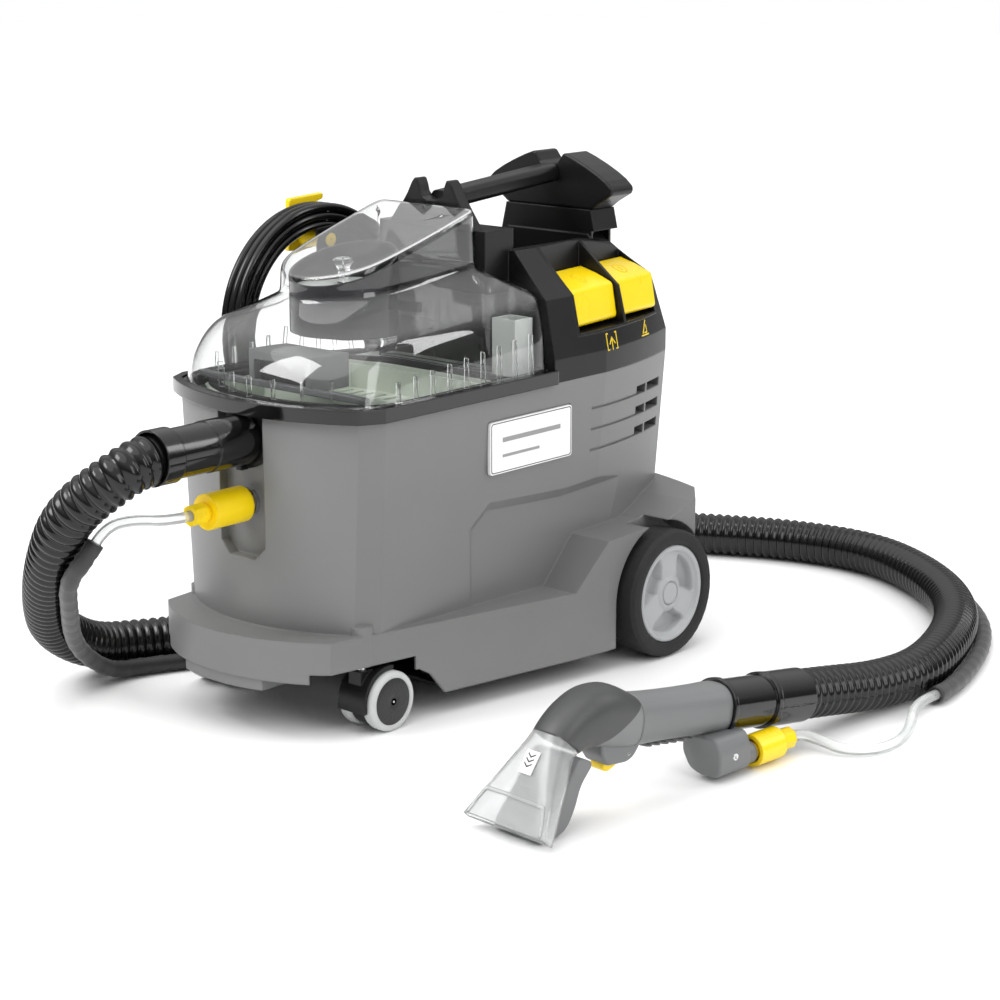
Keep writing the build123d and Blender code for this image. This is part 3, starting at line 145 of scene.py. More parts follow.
def material(name, color, rough=0.4, metal=0.0, grain=900.0, bump=0.06, mottle=0.06, rounding=0.0, coat=0.0,
             transmission=0.0, ior=1.5, sheen=0.0, specular=0.5, rough_spread=0.06):
    """A procedural material: mottled colour, grained bump, uneven roughness, softened edges."""
    made = bpy.data.materials.new(name)
    made.use_nodes = True
    tree = made.node_tree
    shader = tree.nodes["Principled BSDF"]
    place = node_of(tree, "ShaderNodeTexCoord")
    broad = node_of(tree, "ShaderNodeTexNoise")
    broad.inputs["Scale"].default_value = 14.0
    broad.inputs["Detail"].default_value = 4.0
    tree.links.new(place.outputs["Object"], broad.inputs["Vector"])
    ramp = node_of(tree, "ShaderNodeValToRGB")
    low = [max(0.0, c * (1 - mottle)) for c in color]
    high = [min(1.0, c * (1 + mottle)) for c in color]
    for stop, place_on_ramp, shade in zip(ramp.color_ramp.elements, (0.3, 0.7), (low, high)):
        stop.color = (*shade, 1)
        stop.position = place_on_ramp
    tree.links.new(broad.outputs["Fac"], ramp.inputs["Fac"])
    tree.links.new(ramp.outputs["Color"], shader.inputs["Base Color"])
    spread = node_of(tree, "ShaderNodeMapRange")
    spread.inputs["To Min"].default_value = max(0.0, rough - rough_spread)
    spread.inputs["To Max"].default_value = min(1.0, rough + rough_spread)
    tree.links.new(broad.outputs["Fac"], spread.inputs["Value"])
    tree.links.new(spread.outputs["Result"], shader.inputs["Roughness"])
    fine = node_of(tree, "ShaderNodeTexNoise")
    fine.inputs["Scale"].default_value = grain
    fine.inputs["Detail"].default_value = 3.0
    tree.links.new(place.outputs["Object"], fine.inputs["Vector"])
    relief = node_of(tree, "ShaderNodeBump")
    relief.inputs["Strength"].default_value = bump
    relief.inputs["Distance"].default_value = 0.0006
    tree.links.new(fine.outputs["Fac"], relief.inputs["Height"])
    if rounding:
        soft = node_of(tree, "ShaderNodeBevel", samples=6)
        soft.inputs["Radius"].default_value = rounding
        tree.links.new(soft.outputs["Normal"], relief.inputs["Normal"])
    tree.links.new(relief.outputs["Normal"], shader.inputs["Normal"])
    steady = {"Metallic": metal, "Coat Weight": coat, "Coat Roughness": 0.08,
              "Transmission Weight": transmission,
              "IOR": ior, "Sheen Weight": sheen, "Specular IOR Level": specular}
    for socket, value in steady.items():
        shader.inputs[socket].default_value = value
    MATERIALS[name] = made
    return made


NECK_LINE_SLOPE = 0.48         # how steeply the neck's two-tone line climbs away from the mouth
NECK_LINE_START = 0.048 - NECK_LINE_SLOPE * (-0.294 + 0.062)
NECK_LINE_BLUR = 0.0002


def two_tone(name):
    """Dark over the top of the tool's neck, and the grip's grey below a line that falls to the nozzle."""
    made = material(name, (0.165, 0.169, 0.171), rough=0.42, grain=1500, bump=0.12, rounding=0.0018,
                    mottle=0.03)
    tree = made.node_tree
    shader = tree.nodes["Principled BSDF"]
    grey = shader.inputs["Base Color"].links[0].from_socket
    place = node_of(tree, "ShaderNodeTexCoord")
    line = node_of(tree, "ShaderNodeVectorMath", operation="DOT_PRODUCT")
    line.inputs[1].default_value = (0, -NECK_LINE_SLOPE, 1)
    edge = node_of(tree, "ShaderNodeMapRange")
    edge.inputs["From Min"].default_value = NECK_LINE_START - NECK_LINE_BLUR
    edge.inputs["From Max"].default_value = NECK_LINE_START + NECK_LINE_BLUR
    mix = node_of(tree, "ShaderNodeMix", data_type="RGBA")
    mix.inputs["B"].default_value = (0.045, 0.046, 0.047, 1)
    tree.links.new(place.outputs["Object"], line.inputs[0])
    tree.links.new(line.outputs["Value"], edge.inputs["Value"])
    tree.links.new(edge.outputs["Result"], mix.inputs["Factor"])
    tree.links.new(grey, mix.inputs["A"])
    tree.links.new(mix.outputs["Result"], shader.inputs["Base Color"])


def make_materials():
    material("body_grey", (0.170, 0.172, 0.170), rough=0.42, grain=1500, bump=0.12, rounding=0.0022,
             mottle=0.03)
    material("black_satin", (0.006, 0.006, 0.0065), specular=0.3, rough=0.34, grain=1300, bump=0.14,
             rounding=0.0018)
    material("black_gloss", (0.004, 0.004, 0.0045), specular=0.4, rough=0.10, grain=500, bump=0.02,
             rounding=0.002, coat=0.25)
    material("yellow", (0.93, 0.66, 0.004), rough=0.28, grain=700, bump=0.03, rounding=0.002, mottle=0.02)
    material("clear", (0.985, 0.99, 0.992), rough=0.012, grain=40, bump=0.006, transmission=1.0, ior=1.47,
             specular=0.2, rough_spread=0.008, mottle=0.005)
    material("frosted", (0.90, 0.91, 0.91), rough=0.17, grain=300, bump=0.04, transmission=0.82, ior=1.35,
             mottle=0.02)
    material("clear_soft", (0.93, 0.95, 0.94), rough=0.16, grain=260, bump=0.05, transmission=0.75, ior=1.35,
             mottle=0.02)
    material("white_plastic", (0.70, 0.76, 0.66), rough=0.35, grain=800, bump=0.05, rounding=0.001)
    material("pale_plastic", (0.80, 0.83, 0.80), rough=0.3, grain=800, bump=0.04, rounding=0.001)
    material("tool_grey", (0.150, 0.154, 0.156), rough=0.45, grain=1500, bump=0.12, rounding=0.0018,
             mottle=0.03)
    material("hub_light", (0.52, 0.53, 0.53), rough=0.4, grain=1200, bump=0.08)
    material("black_rough", (0.016, 0.016, 0.017), rough=0.42, grain=380, bump=0.7, mottle=0.2)
    material("ink", (0.02, 0.02, 0.02), rough=0.5)
    material("ink_pale", (0.30, 0.30, 0.30), rough=0.5)
    material("hub_grey", (0.40, 0.41, 0.42), rough=0.4, grain=1200, bump=0.1, rounding=0.001)
    two_tone("tool_neck_shell")
    material("tyre_rubber", (0.020, 0.020, 0.021), specular=0.3, rough=0.66, grain=420, bump=0.5,
             rounding=0.0012)
    material("hose_black", (0.004, 0.004, 0.0045), rough=0.16, grain=600, bump=0.03, specular=0.4)
    material("sleeve_black", (0.018, 0.018, 0.019), rough=0.5, grain=1700, bump=0.4, sheen=0.2)
    material("steel", (0.62, 0.62, 0.63), rough=0.22, metal=1.0, grain=600, bump=0.03)
    material("dark_mirror", (0.022, 0.022, 0.024), rough=0.04, metal=1.0, grain=60, bump=0.01, coat=0.15)
    material("seal", (0.02, 0.02, 0.021), rough=0.6, grain=900, bump=0.1)
    material("aluminium", (0.6, 0.61, 0.62), rough=0.4, metal=1.0, grain=900, bump=0.1)
    material("label_white", (0.86, 0.86, 0.86), rough=0.25, grain=1000, bump=0.02, rounding=0.0008)
    material("floor", (0.95, 0.95, 0.95), rough=0.6, grain=30, bump=0.0, mottle=0.0, rough_spread=0.0)


SURFACES = {
    "body_grey": "body_shell",
    "black_satin": "underside_pan rear_housing front_saddle rear_saddle handle_bar switch_panel pump "
                   "air_duct caster_hood_right caster_hood_left port_socket mains_plug",
    "black_gloss": "rim_band hose_cuff tool_cuff tool_sleeve",
    "yellow": "rocker_suction rocker_spray cable_hook coupling_core_machine coupling_collar_machine "
              "coupling_core_tool coupling_collar_tool trigger",
    "clear": "lid nozzle",
    "clear_soft": "spray_hose pump_line",
    "white_plastic": "waste_tank fluff_filter",
    "pale_plastic": "fresh_tank impeller float_disc",
    "tool_grey": "tool_handle tool_neck valve_block nozzle_back deflector caster_wheels_right "
                 "caster_wheels_left",
    "hub_grey": "rim_right rim_left",
    "tyre_rubber": "tyre_right tyre_left",
    "hose_black": "suction_hose mains_lead mains_coil",
    "sleeve_black": "hose_sleeve",
    "steel": "pan_screws small_pins rear_axle caster_pins_right caster_pins_left spray_socket",
    "dark_mirror": "suction_tower",
    "seal": "lid_gasket cable_gland",
    "aluminium": "motor_housing",
    "label_white": "label_plate",
}


def paint(node, name):
    part = NODES[node]
    if not part.material_slots:
        part.data.materials.append(MATERIALS[name])
    for held in part.material_slots:
        held.material = MATERIALS[name]


def paint_nodes():
    for name, nodes in SURFACES.items():
        for node in nodes.split():
            paint(node, name)


# ---------------------------------------------------------------- mesh helpers

def new_piece(name, mesh, finish, body="chassis", smooth=True, bevel=0.0, segments=2):
    """Puts a mesh into the scene with its material and the body that it rides on."""
    piece = add_to_scene(name, mesh)
    mesh.materials.append(MATERIALS[finish])
    if smooth:
        for face in mesh.polygons:
            face.use_smooth = True
    if bevel:
        trim = piece.modifiers.new("bevel", "BEVEL")
        trim.width = bevel
        trim.segments = segments
        trim.limit_method = "ANGLE"
        trim.angle_limit = math.radians(32)
        weigh = piece.modifiers.new("weighted", "WEIGHTED_NORMAL")
        weigh.keep_sharp = True
    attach(piece, body)
    return piece


def finish_mesh(name, work):
    bmesh.ops.remove_doubles(work, verts=work.verts, dist=1e-6)
    bmesh.ops.recalc_face_normals(work, faces=work.faces)
    mesh = bpy.data.meshes.new(name)
    work.to_mesh(mesh)
    work.free()
    return mesh


def ring_skin(work, rings, loop=False, first=True, last=True):
    """Skins rings of points, then joins the last to the first, or closes the ends that are asked for."""
    made = [[work.verts.new(p) for p in ring] for ring in rings]
    count = len(made[0])
    pairs = list(zip(made, made[1:]))
    if loop:
        pairs.append((made[-1], made[0]))
    for a, b in pairs:
        for i in range(count):
            j = (i + 1) % count
            work.faces.new((a[i], a[j], b[j], b[i]))
    if first and not loop:
        work.faces.new(list(reversed(made[0])))
    if last and not loop:
        work.faces.new(made[-1])


# ---------------------------------------------------------------- cords

def circle(radius, steps):
    """Places (u, v) evenly round a circle."""
    turns = [2 * math.pi * k / steps for k in range(steps)]
    return [(radius * math.cos(angle), radius * math.sin(angle)) for angle in turns]


def soft_oblong(half_u, half_v, power, steps):
    """Places (u, v) round an oblong whose corners grow squarer with the power."""
    places = []
    for c, d in circle(1, steps):
        places.append((half_u * math.copysign(abs(c) ** (2 / power), c),
                       half_v * math.copysign(abs(d) ** (2 / power), d)))
    return places


def spline_curve(name, points, radius=0.0):
    """A smooth curve whose control points are the route's points, in metres."""
    data = bpy.data.curves.new(name, "CURVE")
    data.dimensions = "3D"
    data.resolution_u = 16
    data.bevel_depth = radius
    data.bevel_resolution = 5
    data.use_fill_caps = True
    line = data.splines.new("NURBS")
    line.points.add(len(points) - 1)
    for point, place in zip(line.points, points):
        point.co = (*place, 1)
    line.order_u = 3
    line.use_endpoint_u = True
    return add_to_scene(name, data)


def read_line(points):
    """The points that Blender gives for the route's own spline."""
    curve = spline_curve("route", points)
    curve.data.resolution_u = 40
    bpy.context.view_layer.update()
    mesh = bpy.data.meshes.new_from_object(curve)
    line = [v.co.copy() for v in mesh.vertices]
    bpy.data.objects.remove(curve)
    bpy.data.meshes.remove(mesh)
    return line


def walk(line, step):
    """Evenly spaced places and headings along a line."""
    lengths = [0.0]
    for a, b in zip(line, line[1:]):
        lengths.append(lengths[-1] + (b - a).length)
    total = lengths[-1]
    count = max(2, int(round(total / step)))
    places = []
    k = 0
    for n in range(count + 1):
        want = total * n / count
        while k < len(lengths) - 2 and lengths[k + 1] < want:
            k += 1
        share = (want - lengths[k]) / max(1e-9, lengths[k + 1] - lengths[k])
        places.append((want, line[k].lerp(line[k + 1], share)))
    return total, places


def frames_along(places):
    """Rotation-free frames for the places of a walk."""
    made = []
    normal = None
    for n, (along, place) in enumerate(places):
        before = places[max(0, n - 1)][1]
        after = places[min(len(places) - 1, n + 1)][1]
        heading = (after - before).normalized()
        if normal is None:
            normal = heading.cross(Vector((0, 0, 1))).normalized()
        normal = (normal - heading * normal.dot(heading)).normalized()
        made.append((along, place, normal, heading.cross(normal)))
    return made


def sweep_rings(places, radius_at, around):
    rings = []
    for along, place, side, up in frames_along(places):
        rings.append([place + side * u + up * v for u, v in circle(radius_at(along), around)])
    return rings


def metres(points):
    return [tuple(c / 1000 for c in p) for p in points]


HOSE_POINTS = metres([
    (0, -306, 240), (0, -324, 240), (-7, -349, 229), (-43, -371, 196), (-90, -352, 143), (-140, -317, 96),
    (-177, -282, 58), (-193, -229, 26), (-183, -187, 21.5), (-158, -139, 21.5), (-178, -60, 21.5),
    (-205, 41, 21.5), (-219, 160, 21.5), (-202, 288, 21.5), (-136, 407, 21.5), (-39, 459, 21.5),
    (48, 501, 21.5), (143, 512, 21.5), (225, 472, 21.5), (298, 410, 21.5), (350, 329, 21.5),
    (389, 213, 21.5), (386, 142, 23), (375.63, 70.72, 33.05), (371.82, 25.38, 39.19)])
SPRAY_POINTS = metres([
    (0, -275, 186), (0, -301, 186), (-13, -326, 190), (-28, -343, 185), (-36, -359, 159), (-54, -363, 138),
    (-84, -338, 105), (-125, -304, 68), (-154, -270, 37), (-162, -234, 11), (-159, -199, 8), (-131, -142, 8),
    (-152, -53, 8), (-179, 47, 8), (-189, 131, 8), (-184, 176, 19), (-188, 224, 46), (-214, 260, 59),
    (-236, 299, 41), (-226, 346, 8), (-154, 427, 8), (-52, 483, 8), (43, 528, 8), (148, 538, 8),
    (240, 494, 8),
    (319, 426, 8), (374, 340, 8), (415, 220, 8), (417, 151, 12), (437, 113, 5), (450, 76, 5), (447, 46, 5),
    (428, 26, 6), (408, 24, 10), (393.1, 16.06, 15), (391.61, -1.88, 15)])
LEAD_POINTS = metres([(-133, 122, 296), (-160, 122, 296), (-173, 136, 260), (-160, 130, 222),
                      (-140, 106, 194), (-134, 66, 188), (-134, 22, 184.2)])
TAIL_POINTS = metres([(-134, -16, 182.4), (-134, -48, 182.4), (-140, -78, 178), (-143, -106, 184)])


HOSE_PITCH = 0.0088            # from one rib of the suction hose to the next
HOSE_ROOT = 0.0186             # its radius between two ribs
HOSE_RISE = 0.0024             # how far a rib stands out
HOSE_PLAIN_END = 0.012
MEASURE_STEP = 0.01            # the step in which a cord's line is measured


def make_hose():
    line = read_line(HOSE_POINTS)
    total, places = walk(line, HOSE_PITCH / 8)

    def radius_at(along):
        if min(along, total - along) <= HOSE_PLAIN_END:
            return HOSE_ROOT
        wave = 0.5 + 0.5 * math.cos(2 * math.pi * along / HOSE_PITCH)
        return HOSE_ROOT + HOSE_RISE * wave ** 0.55

    work = bmesh.new()
    ring_skin(work, sweep_rings(places, radius_at, 40))
    hose = new_piece("hose_corrugated", finish_mesh("hose_corrugated", work), "hose_black")
    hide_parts("suction_hose")


def make_spray_hose():
    hose = spline_curve("spray_line", SPRAY_POINTS, 0.0045)
    hose.data.materials.append(MATERIALS["clear_soft"])
    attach(hose, "chassis")
    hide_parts("spray_hose")
    length = walk(read_line(SPRAY_POINTS), MEASURE_STEP)[0]


SLEEVE_FROM, SLEEVE_TO = 3, 27     # the spray hose's points that the sleeve's ends follow
SLEEVE_BORE = 0.0056


def nearest_index(line, place):
    return min(range(len(line)), key=lambda k: (line[k] - place).length)


def make_sleeve():
    """The woven sleeve, which begins and ends halfway between two points of the spray hose."""
    line = read_line(SPRAY_POINTS)
    ends = [(Vector(SPRAY_POINTS[k]) + Vector(SPRAY_POINTS[k + 1])) / 2 for k in (SLEEVE_FROM, SLEEVE_TO)]
    a, b = (nearest_index(line, end) for end in ends)
    total, places = walk(line[a:b + 1], 0.004)

    def radius_at(along):
        return 0.0072 + 0.0003 * math.sin(along * 900) + 0.0002 * math.sin(along * 310 + 1)

    outer = sweep_rings(places, radius_at, 20)
    inner = sweep_rings(places, lambda along: SLEEVE_BORE, 20)
    work = bmesh.new()
    ring_skin(work, outer + list(reversed(inner)), loop=True)
    sleeve = new_piece("sleeve", finish_mesh("sleeve", work), "sleeve_black")
    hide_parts("hose_sleeve")


COIL = (-0.134, -0.002, 0.294)


# Radius and sideways offset of each turn, in millimetres.
COIL_LAYS = [(104, -8), (96, -8), (88, -8), (88, 0), (96, 0), (88, 8), (96, 8), (104, 8), (104, 0)]
COIL_STEPS = 14                # points in each turn
COIL_CHANGE = 4                # of them, the last ones, lead over to the next lay
COIL_SWELL = 1.024             # a spline runs inside its points, so they stand this much further out


def coil_points():
    """Nine turns on the hook, laid side by side and over each other."""
    points = []
    for lay, (radius, offset) in enumerate(COIL_LAYS):
        after = COIL_LAYS[min(lay + 1, len(COIL_LAYS) - 1)]
        for k in range(COIL_STEPS):
            share = max(0.0, (k - COIL_STEPS + COIL_CHANGE) / COIL_CHANGE)
            r = (radius + (after[0] - radius) * share) * COIL_SWELL / 1000
            x = COIL[0] + (offset + (after[1] - offset) * share) / 1000
            angle = 2 * math.pi * (k + 0.5) / COIL_STEPS
            points.append((x, COIL[1] - r * math.sin(angle), COIL[2] - r * math.cos(angle)))
    return points


def make_mains():
    points = LEAD_POINTS + coil_points() + TAIL_POINTS
    lead = spline_curve("mains_cable", points, 0.0038)
    lead.data.materials.append(MATERIALS["hose_black"])
    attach(lead, "chassis")
    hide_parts("mains_lead", "mains_coil")
    length = walk(read_line(points), MEASURE_STEP)[0]


# ---------------------------------------------------------------- shaped meshes

def mm(*values):
    return tuple(v / 1000 for v in values)


def rounded(points, radius, steps=5):
    """A closed outline with its corners rounded."""
    made = []
    count = len(points)
    for k in range(count):
        before, here, after = (Vector(points[(k + d) % count]) for d in (-1, 0, 1))
        reach = min(radius, (before - here).length * 0.45, (after - here).length * 0.45)
        a = here + (before - here).normalized() * reach
        b = here + (after - here).normalized() * reach
        for n in range(steps + 1):
            t = n / steps
            made.append(tuple(a * (1 - t) ** 2 + here * 2 * t * (1 - t) + b * t ** 2))
    return made


def prism_mesh(name, outline, low, high, place):
    """An outline pushed from low to high; place turns (u, v, w) into a point."""
    work = bmesh.new()
    ring_skin(work, [[place(u, v, w) for u, v in outline] for w in (low, high)])
    return finish_mesh(name, work)


def across_x(y, z, x):
    return Vector(mm(x, y, z))


def across_y(x, z, y):
    return Vector(mm(x, y, z))


def lathe_mesh(name, profile, centre, upright=False, steps=96, shape=None):
    """A profile of (radius, distance along) turned about an axis across the machine, or an upright one."""
    rings = []
    for radius, along in profile:
        ring = []
        for k in range(steps):
            angle = 2 * math.pi * k / steps
            r = radius * (shape(angle, radius) if shape else 1)
            a, b = r * math.cos(angle), r * math.sin(angle)
            if upright:
                point = (centre[0] + a, centre[1] + b, along)
            else:
                point = (along, centre[1] + a, centre[2] + b)
            ring.append(Vector(mm(*point)))
        rings.append(ring)
    work = bmesh.new()
    ring_skin(work, rings, loop=True)
    return finish_mesh(name, work)


def split_edges(piece, degrees=30):
    """Keeps the edges sharper than this many degrees crisp."""
    piece.modifiers.new("split", "EDGE_SPLIT").split_angle = math.radians(degrees)


def add_subdivision(piece, levels):
    rounder = piece.modifiers.new("rounding", "SUBSURF")
    rounder.levels = levels
    rounder.render_levels = levels


def add_wall(piece, thickness):
    wall = piece.modifiers.new("wall", "SOLIDIFY")
    wall.thickness = thickness
    wall.offset = -1


# ---------------------------------------------------------------- lid

TURRET_Y, TURRET_TOP, TOP_SLOPE = -100.0, 381.0, 0.30
LID_FRONT, LID_BACK, LID_HALF, LID_LOW = -221.0, 37.5, 112.0, 271.0


def hull_row(z, side, nose):
    """One level of the lid's hull, from the nose's middle round the right side to the back's middle."""
    half = LID_HALF - side
    front = LID_FRONT + nose
    plan = [(0, front), (half * 0.32, front + 2.5), (half * 0.62, front + 9), (half - 14, front + 26),
            (half - 3, front + 44), (half, front + 75), (half, -90), (half, -30), (half, 15),
            (half - 0.5, LID_BACK - 4), (half - 5, LID_BACK), (70, LID_BACK), (66, LID_BACK - 3), (65.5, 12),
            (62, 6), (0, 5.5)]
    row = []
    for x, y in plan:
        lean = 1 + 0.0012 * (y + 60)
        row.append((x, y, LID_LOW + (z - LID_LOW) * lean))
    return row


TURRET_RADIUS = 54
BLOCK_SIDE, BLOCK_BACK = 58, 5


def turret_row(drop, inset, flat=None):
    """One level of the turret and the block behind it, under the slanted top."""
    r = TURRET_RADIUS - inset
    plan = []
    for degrees in (0, 20, 38, 56, 72, 86):
        angle = math.radians(degrees)
        plan.append((r * math.sin(angle), TURRET_Y - r * math.cos(angle)))
    side = BLOCK_SIDE - inset
    back = BLOCK_BACK - inset
    plan += [(side - 1.5, -78), (side, -48), (side, -25), (side, -10), (side - 0.5, back - 6),
             (side - 3, back - 1), (side - 8, back), (side - 20, back), (side - 34, back), (0, back)]
    row = []
    for x, y in plan:
        z = TURRET_TOP + TOP_SLOPE * (y - TURRET_Y) - drop
        if flat is not None:
            z = min(z, flat + 0.10 * (y - TURRET_Y))
        row.append((x, y, z))
    return row


def both_sides(row):
    """Mirrors a right-hand row into a whole ring, which starts and ends on the middle plane."""
    left = [(-x, y, z) for x, y, z in reversed(row[1:-1])]
    return [Vector(mm(*p)) for p in row + left]


def make_lid():
    """The clear lid: the rows of its hull, then those of the turret, skinned, rounded and given a wall."""
    rows = [hull_row(271, 0, 0), hull_row(272.5, 0.2, 0.4), hull_row(290, 1.2, 4), hull_row(306, 3.5, 10),
            hull_row(319, 6.5, 18), hull_row(327, 9.5, 26), hull_row(331, 14, 33), hull_row(337, 27, 46),
            turret_row(0, -6, 347), turret_row(0, -1.2, 351), turret_row(0, -0.4, 356),
            turret_row(9, 0), turret_row(2.6, 0.5), turret_row(0.6, 2), turret_row(0, 6), turret_row(0, 22)]
    work = bmesh.new()
    ring_skin(work, [both_sides(row) for row in rows], first=False)
    shell = new_piece("lid_shell", finish_mesh("lid_shell", work), "clear", body="lid_group")
    add_subdivision(shell, 2)
    add_wall(shell, 0.0022)
    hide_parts("lid")
    make_lid_ribs()
    make_lid_flange()


RIB_LOW = 273.5
SIDE_RIBS, SIDE_RIB_PITCH = 9, 20.5
NOSE_RIBS, NOSE_RIB_TURN = 7, 16


def make_lid_ribs():
    """The thin stiffening ribs inside the lower edge of the lid."""
    work = bmesh.new()
    for side in (-1, 1):
        for k in range(SIDE_RIBS):
            y = -148 + SIDE_RIB_PITCH * k
            tall = 16 + 2.2 * k
            box_into(work, side * 104.5, side * 109.5, y - 0.8, y + 0.8, RIB_LOW, RIB_LOW + tall)
    for k in range(NOSE_RIBS):
        angle = math.radians(NOSE_RIB_TURN * (k - NOSE_RIBS // 2))
        centre_y = -122
        ends = [(r * math.sin(angle), centre_y - r * math.cos(angle)) for r in (86, 91)]
        wall_into(work, *ends, 1.6, RIB_LOW, 290)
    mesh = finish_mesh("lid_ribs", work)
    new_piece("lid_ribs", mesh, "clear", body="lid_group", smooth=False, bevel=0.0004)


def make_lid_flange():
    """The lid's lower edge, a clear ledge that sits on the seal."""
    low, high = 271.2, 274.0
    corners = ((low, -0.4), (high, -0.4), (high, 5.5), (low, 5.5))
    work = bmesh.new()
    ring_skin(work, [both_sides(hull_row(z, grow, grow)) for z, grow in corners], loop=True)
    piece = new_piece("lid_flange", finish_mesh("lid_flange", work), "clear", body="lid_group")
    split_edges(piece)


def box_into(work, x0, x1, y0, y1, z0, z1):
    plan = ((x0, y0), (x1, y0), (x1, y1), (x0, y1))
    ring_skin(work, [[mm(x, y, z) for x, y in plan] for z in (z0, z1)])


def wall_into(work, a, b, thick, z0, z1):
    """A thin upright wall from a to b."""
    ax, ay = a
    bx, by = b
    length = math.hypot(bx - ax, by - ay)
    nx, ny = -(by - ay) / length * thick / 2, (bx - ax) / length * thick / 2
    plan = [(ax + nx, ay + ny), (bx + nx, by + ny), (bx - nx, by - ny), (ax - nx, ay - ny)]
    ring_skin(work, [[mm(x, y, z) for x, y in plan] for z in (z0, z1)])


def make_tower_cap():
    """The pale disc and the knob at the top of the suction tower, and the dark inlet under the deflector."""
    centre = (0, TURRET_Y, 0)
    plate = [(4, 349), (40, 349), (42, 350.5), (42, 352), (40, 353), (12, 354), (4, 354)]
    disc = lathe_mesh("tower_disc", plate, centre, upright=True)
    new_piece("tower_disc", disc, "pale_plastic", body="lid_group")
    profile = [(0.5, 353), (6, 353), (5, 356), (4.2, 364), (7, 368), (9, 371), (8.5, 373), (6, 374),
               (0.5, 374)]
    knob = lathe_mesh("tower_knob", profile, centre, upright=True, steps=48)
    new_piece("tower_knob", knob, "clear", body="lid_group")
    mouth = rounded([(-31, 276), (31, 276), (31, 295), (-31, 295)], 3)
    inlet = prism_mesh("inlet_mouth", mouth, -168, -137, across_y)
    new_piece("inlet_mouth", inlet, "black_satin", body="lid_group", smooth=False, bevel=0.001)


# ---------------------------------------------------------------- wheels

WHEEL_Y, WHEEL_R, WHEEL_OUT, RIM_R = 152.0, 58.6, 162.0, 44.6


TREAD_FLATS = 34
TREAD_FROM = 52                # the radius at which the tread's flats begin


def facet(angle, radius):
    """Gives the tyre's tread its flats."""
    if radius < TREAD_FROM:
        return 1
    step = 2 * math.pi / TREAD_FLATS
    part = (angle - math.radians(270)) % step
    return math.cos(step / 2) / math.cos(part - step / 2)


def make_wheel(side, name):
    body = "wheel_" + name
    centre = (0, WHEEL_Y, WHEEL_R)
    out = [(RIM_R, 159), (46, 161), (48, 161.6), (52, 162), (56.2, 161), (58.3, 157.5), (58.5, 154),
           (58.5, 136), (57.6, 131), (55, 128.4), (48, 128), (RIM_R, 129)]
    tyre = lathe_mesh("tyre_" + name + "_tread", [(r, side * x) for r, x in out], centre, steps=136,
                      shape=facet)
    piece = new_piece("tyre_" + name + "_tread", tyre, "tyre_rubber", body=body)
    split_edges(piece, 24)
    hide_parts("tyre_" + name)
    dish = new_piece("hub_" + name, hub_mesh("hub_" + name, side), "hub_grey", body=body)
    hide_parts("rim_" + name)


def step_up(a, b, t):
    """Climbs smoothly from 0 at a to 1 at b."""
    t = max(0.0, min(1.0, (t - a) / (b - a)))
    return t * t * (3 - 2 * t)


def hub_height(r, angle):
    """Depth of the hub's face behind its rim, in millimetres."""
    depth = 3.4 * (1 - step_up(37.5, 40.5, r))
    nearest = min(abs((math.degrees(angle) - centre + 180) % 360 - 180) for centre in (30, 150, 270))
    reach = 26 + 14 * step_up(17, 33, r)
    inside = step_up(16.5, 19.5, r) * (1 - step_up(34.5, 37, r)) * (1 - step_up(reach - 5, reach, nearest))
    depth += 9.5 * inside
    depth -= 1.6 * (1 - step_up(13, 16, r))
    groove = step_up(9.6, 10.2, r) * (1 - step_up(10.8, 11.4, r))
    return depth + 1.6 * groove


HUB_RADII = [0.6, 3, 6, 8.5, 9.6, 9.9, 10.2, 10.8, 11.1, 11.4, 13, 14, 15, 16, 17, 18, 19, 20, 22, 25, 28,
             31, 33,
             34, 34.6, 35.4, 36.2, 37, 37.8, 38.6, 39.4, 40.2, 41, 43.2, 44.3]
HUB_BACK = ((44.4, 132), (40, 131), (38, 145), (6, 147))       # (radius, distance from the middle)
HUB_STEPS = 180


def hub_mesh(name, side):
    """A hub with three broad pockets in its face, and a hollow back."""
    rings = []
    for r in HUB_RADII:
        ring = []
        for k, (u, v) in enumerate(circle(r, HUB_STEPS)):
            height = hub_height(r, 2 * math.pi * k / HUB_STEPS)
            x = side * (WHEEL_OUT - 2.2 - height - (0.8 if r > 44 else 0))
            ring.append(mm(x, WHEEL_Y + u, WHEEL_R + v))
        rings.append(ring)
    for r, x in HUB_BACK:
        rings.append([mm(side * x, WHEEL_Y + u, WHEEL_R + v) for u, v in circle(r, HUB_STEPS)])
    work = bmesh.new()
    ring_skin(work, rings)
    return finish_mesh(name, work)


CASTER_X, CASTER_AXLE = 94.0, (0, -164.0, 25.5)
CASTER_NEAR, CASTER_FAR = 8.0, 20.0        # a caster wheel's inner and outer faces, from the caster's middle


def make_caster(side, name):
    """A caster's two wheels, each a pale ring round a dark disc."""
    body = "caster_wheel_" + name
    near, far = CASTER_NEAR, CASTER_FAR
    tread = [(20, near), (24.6, near), (25.5, near + 2), (25.5, far - 3), (25.0, far - 1.4),
             (23.6, far - 0.2), (21.5, far), (20, far - 0.6)]
    face = [(1, near), (20.3, near), (20.3, far - 1.6), (19.2, far - 0.9), (15, far - 0.2), (8, far),
            (1, far)]
    for away in (-1, 1):
        place = "outer" if away == side else "inner"
        ring, disc = (
            lathe_mesh(kind, [(r, side * CASTER_X + away * x) for r, x in profile], CASTER_AXLE, steps=72)
            for kind, profile in (("roll", tread), ("disc", face)))
        new_piece("caster_%s_ring_%s" % (name, place), ring, "hub_light", body=body)
        new_piece("caster_%s_disc_%s" % (name, place), disc, "black_rough", body=body)
    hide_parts("caster_wheels_" + name)


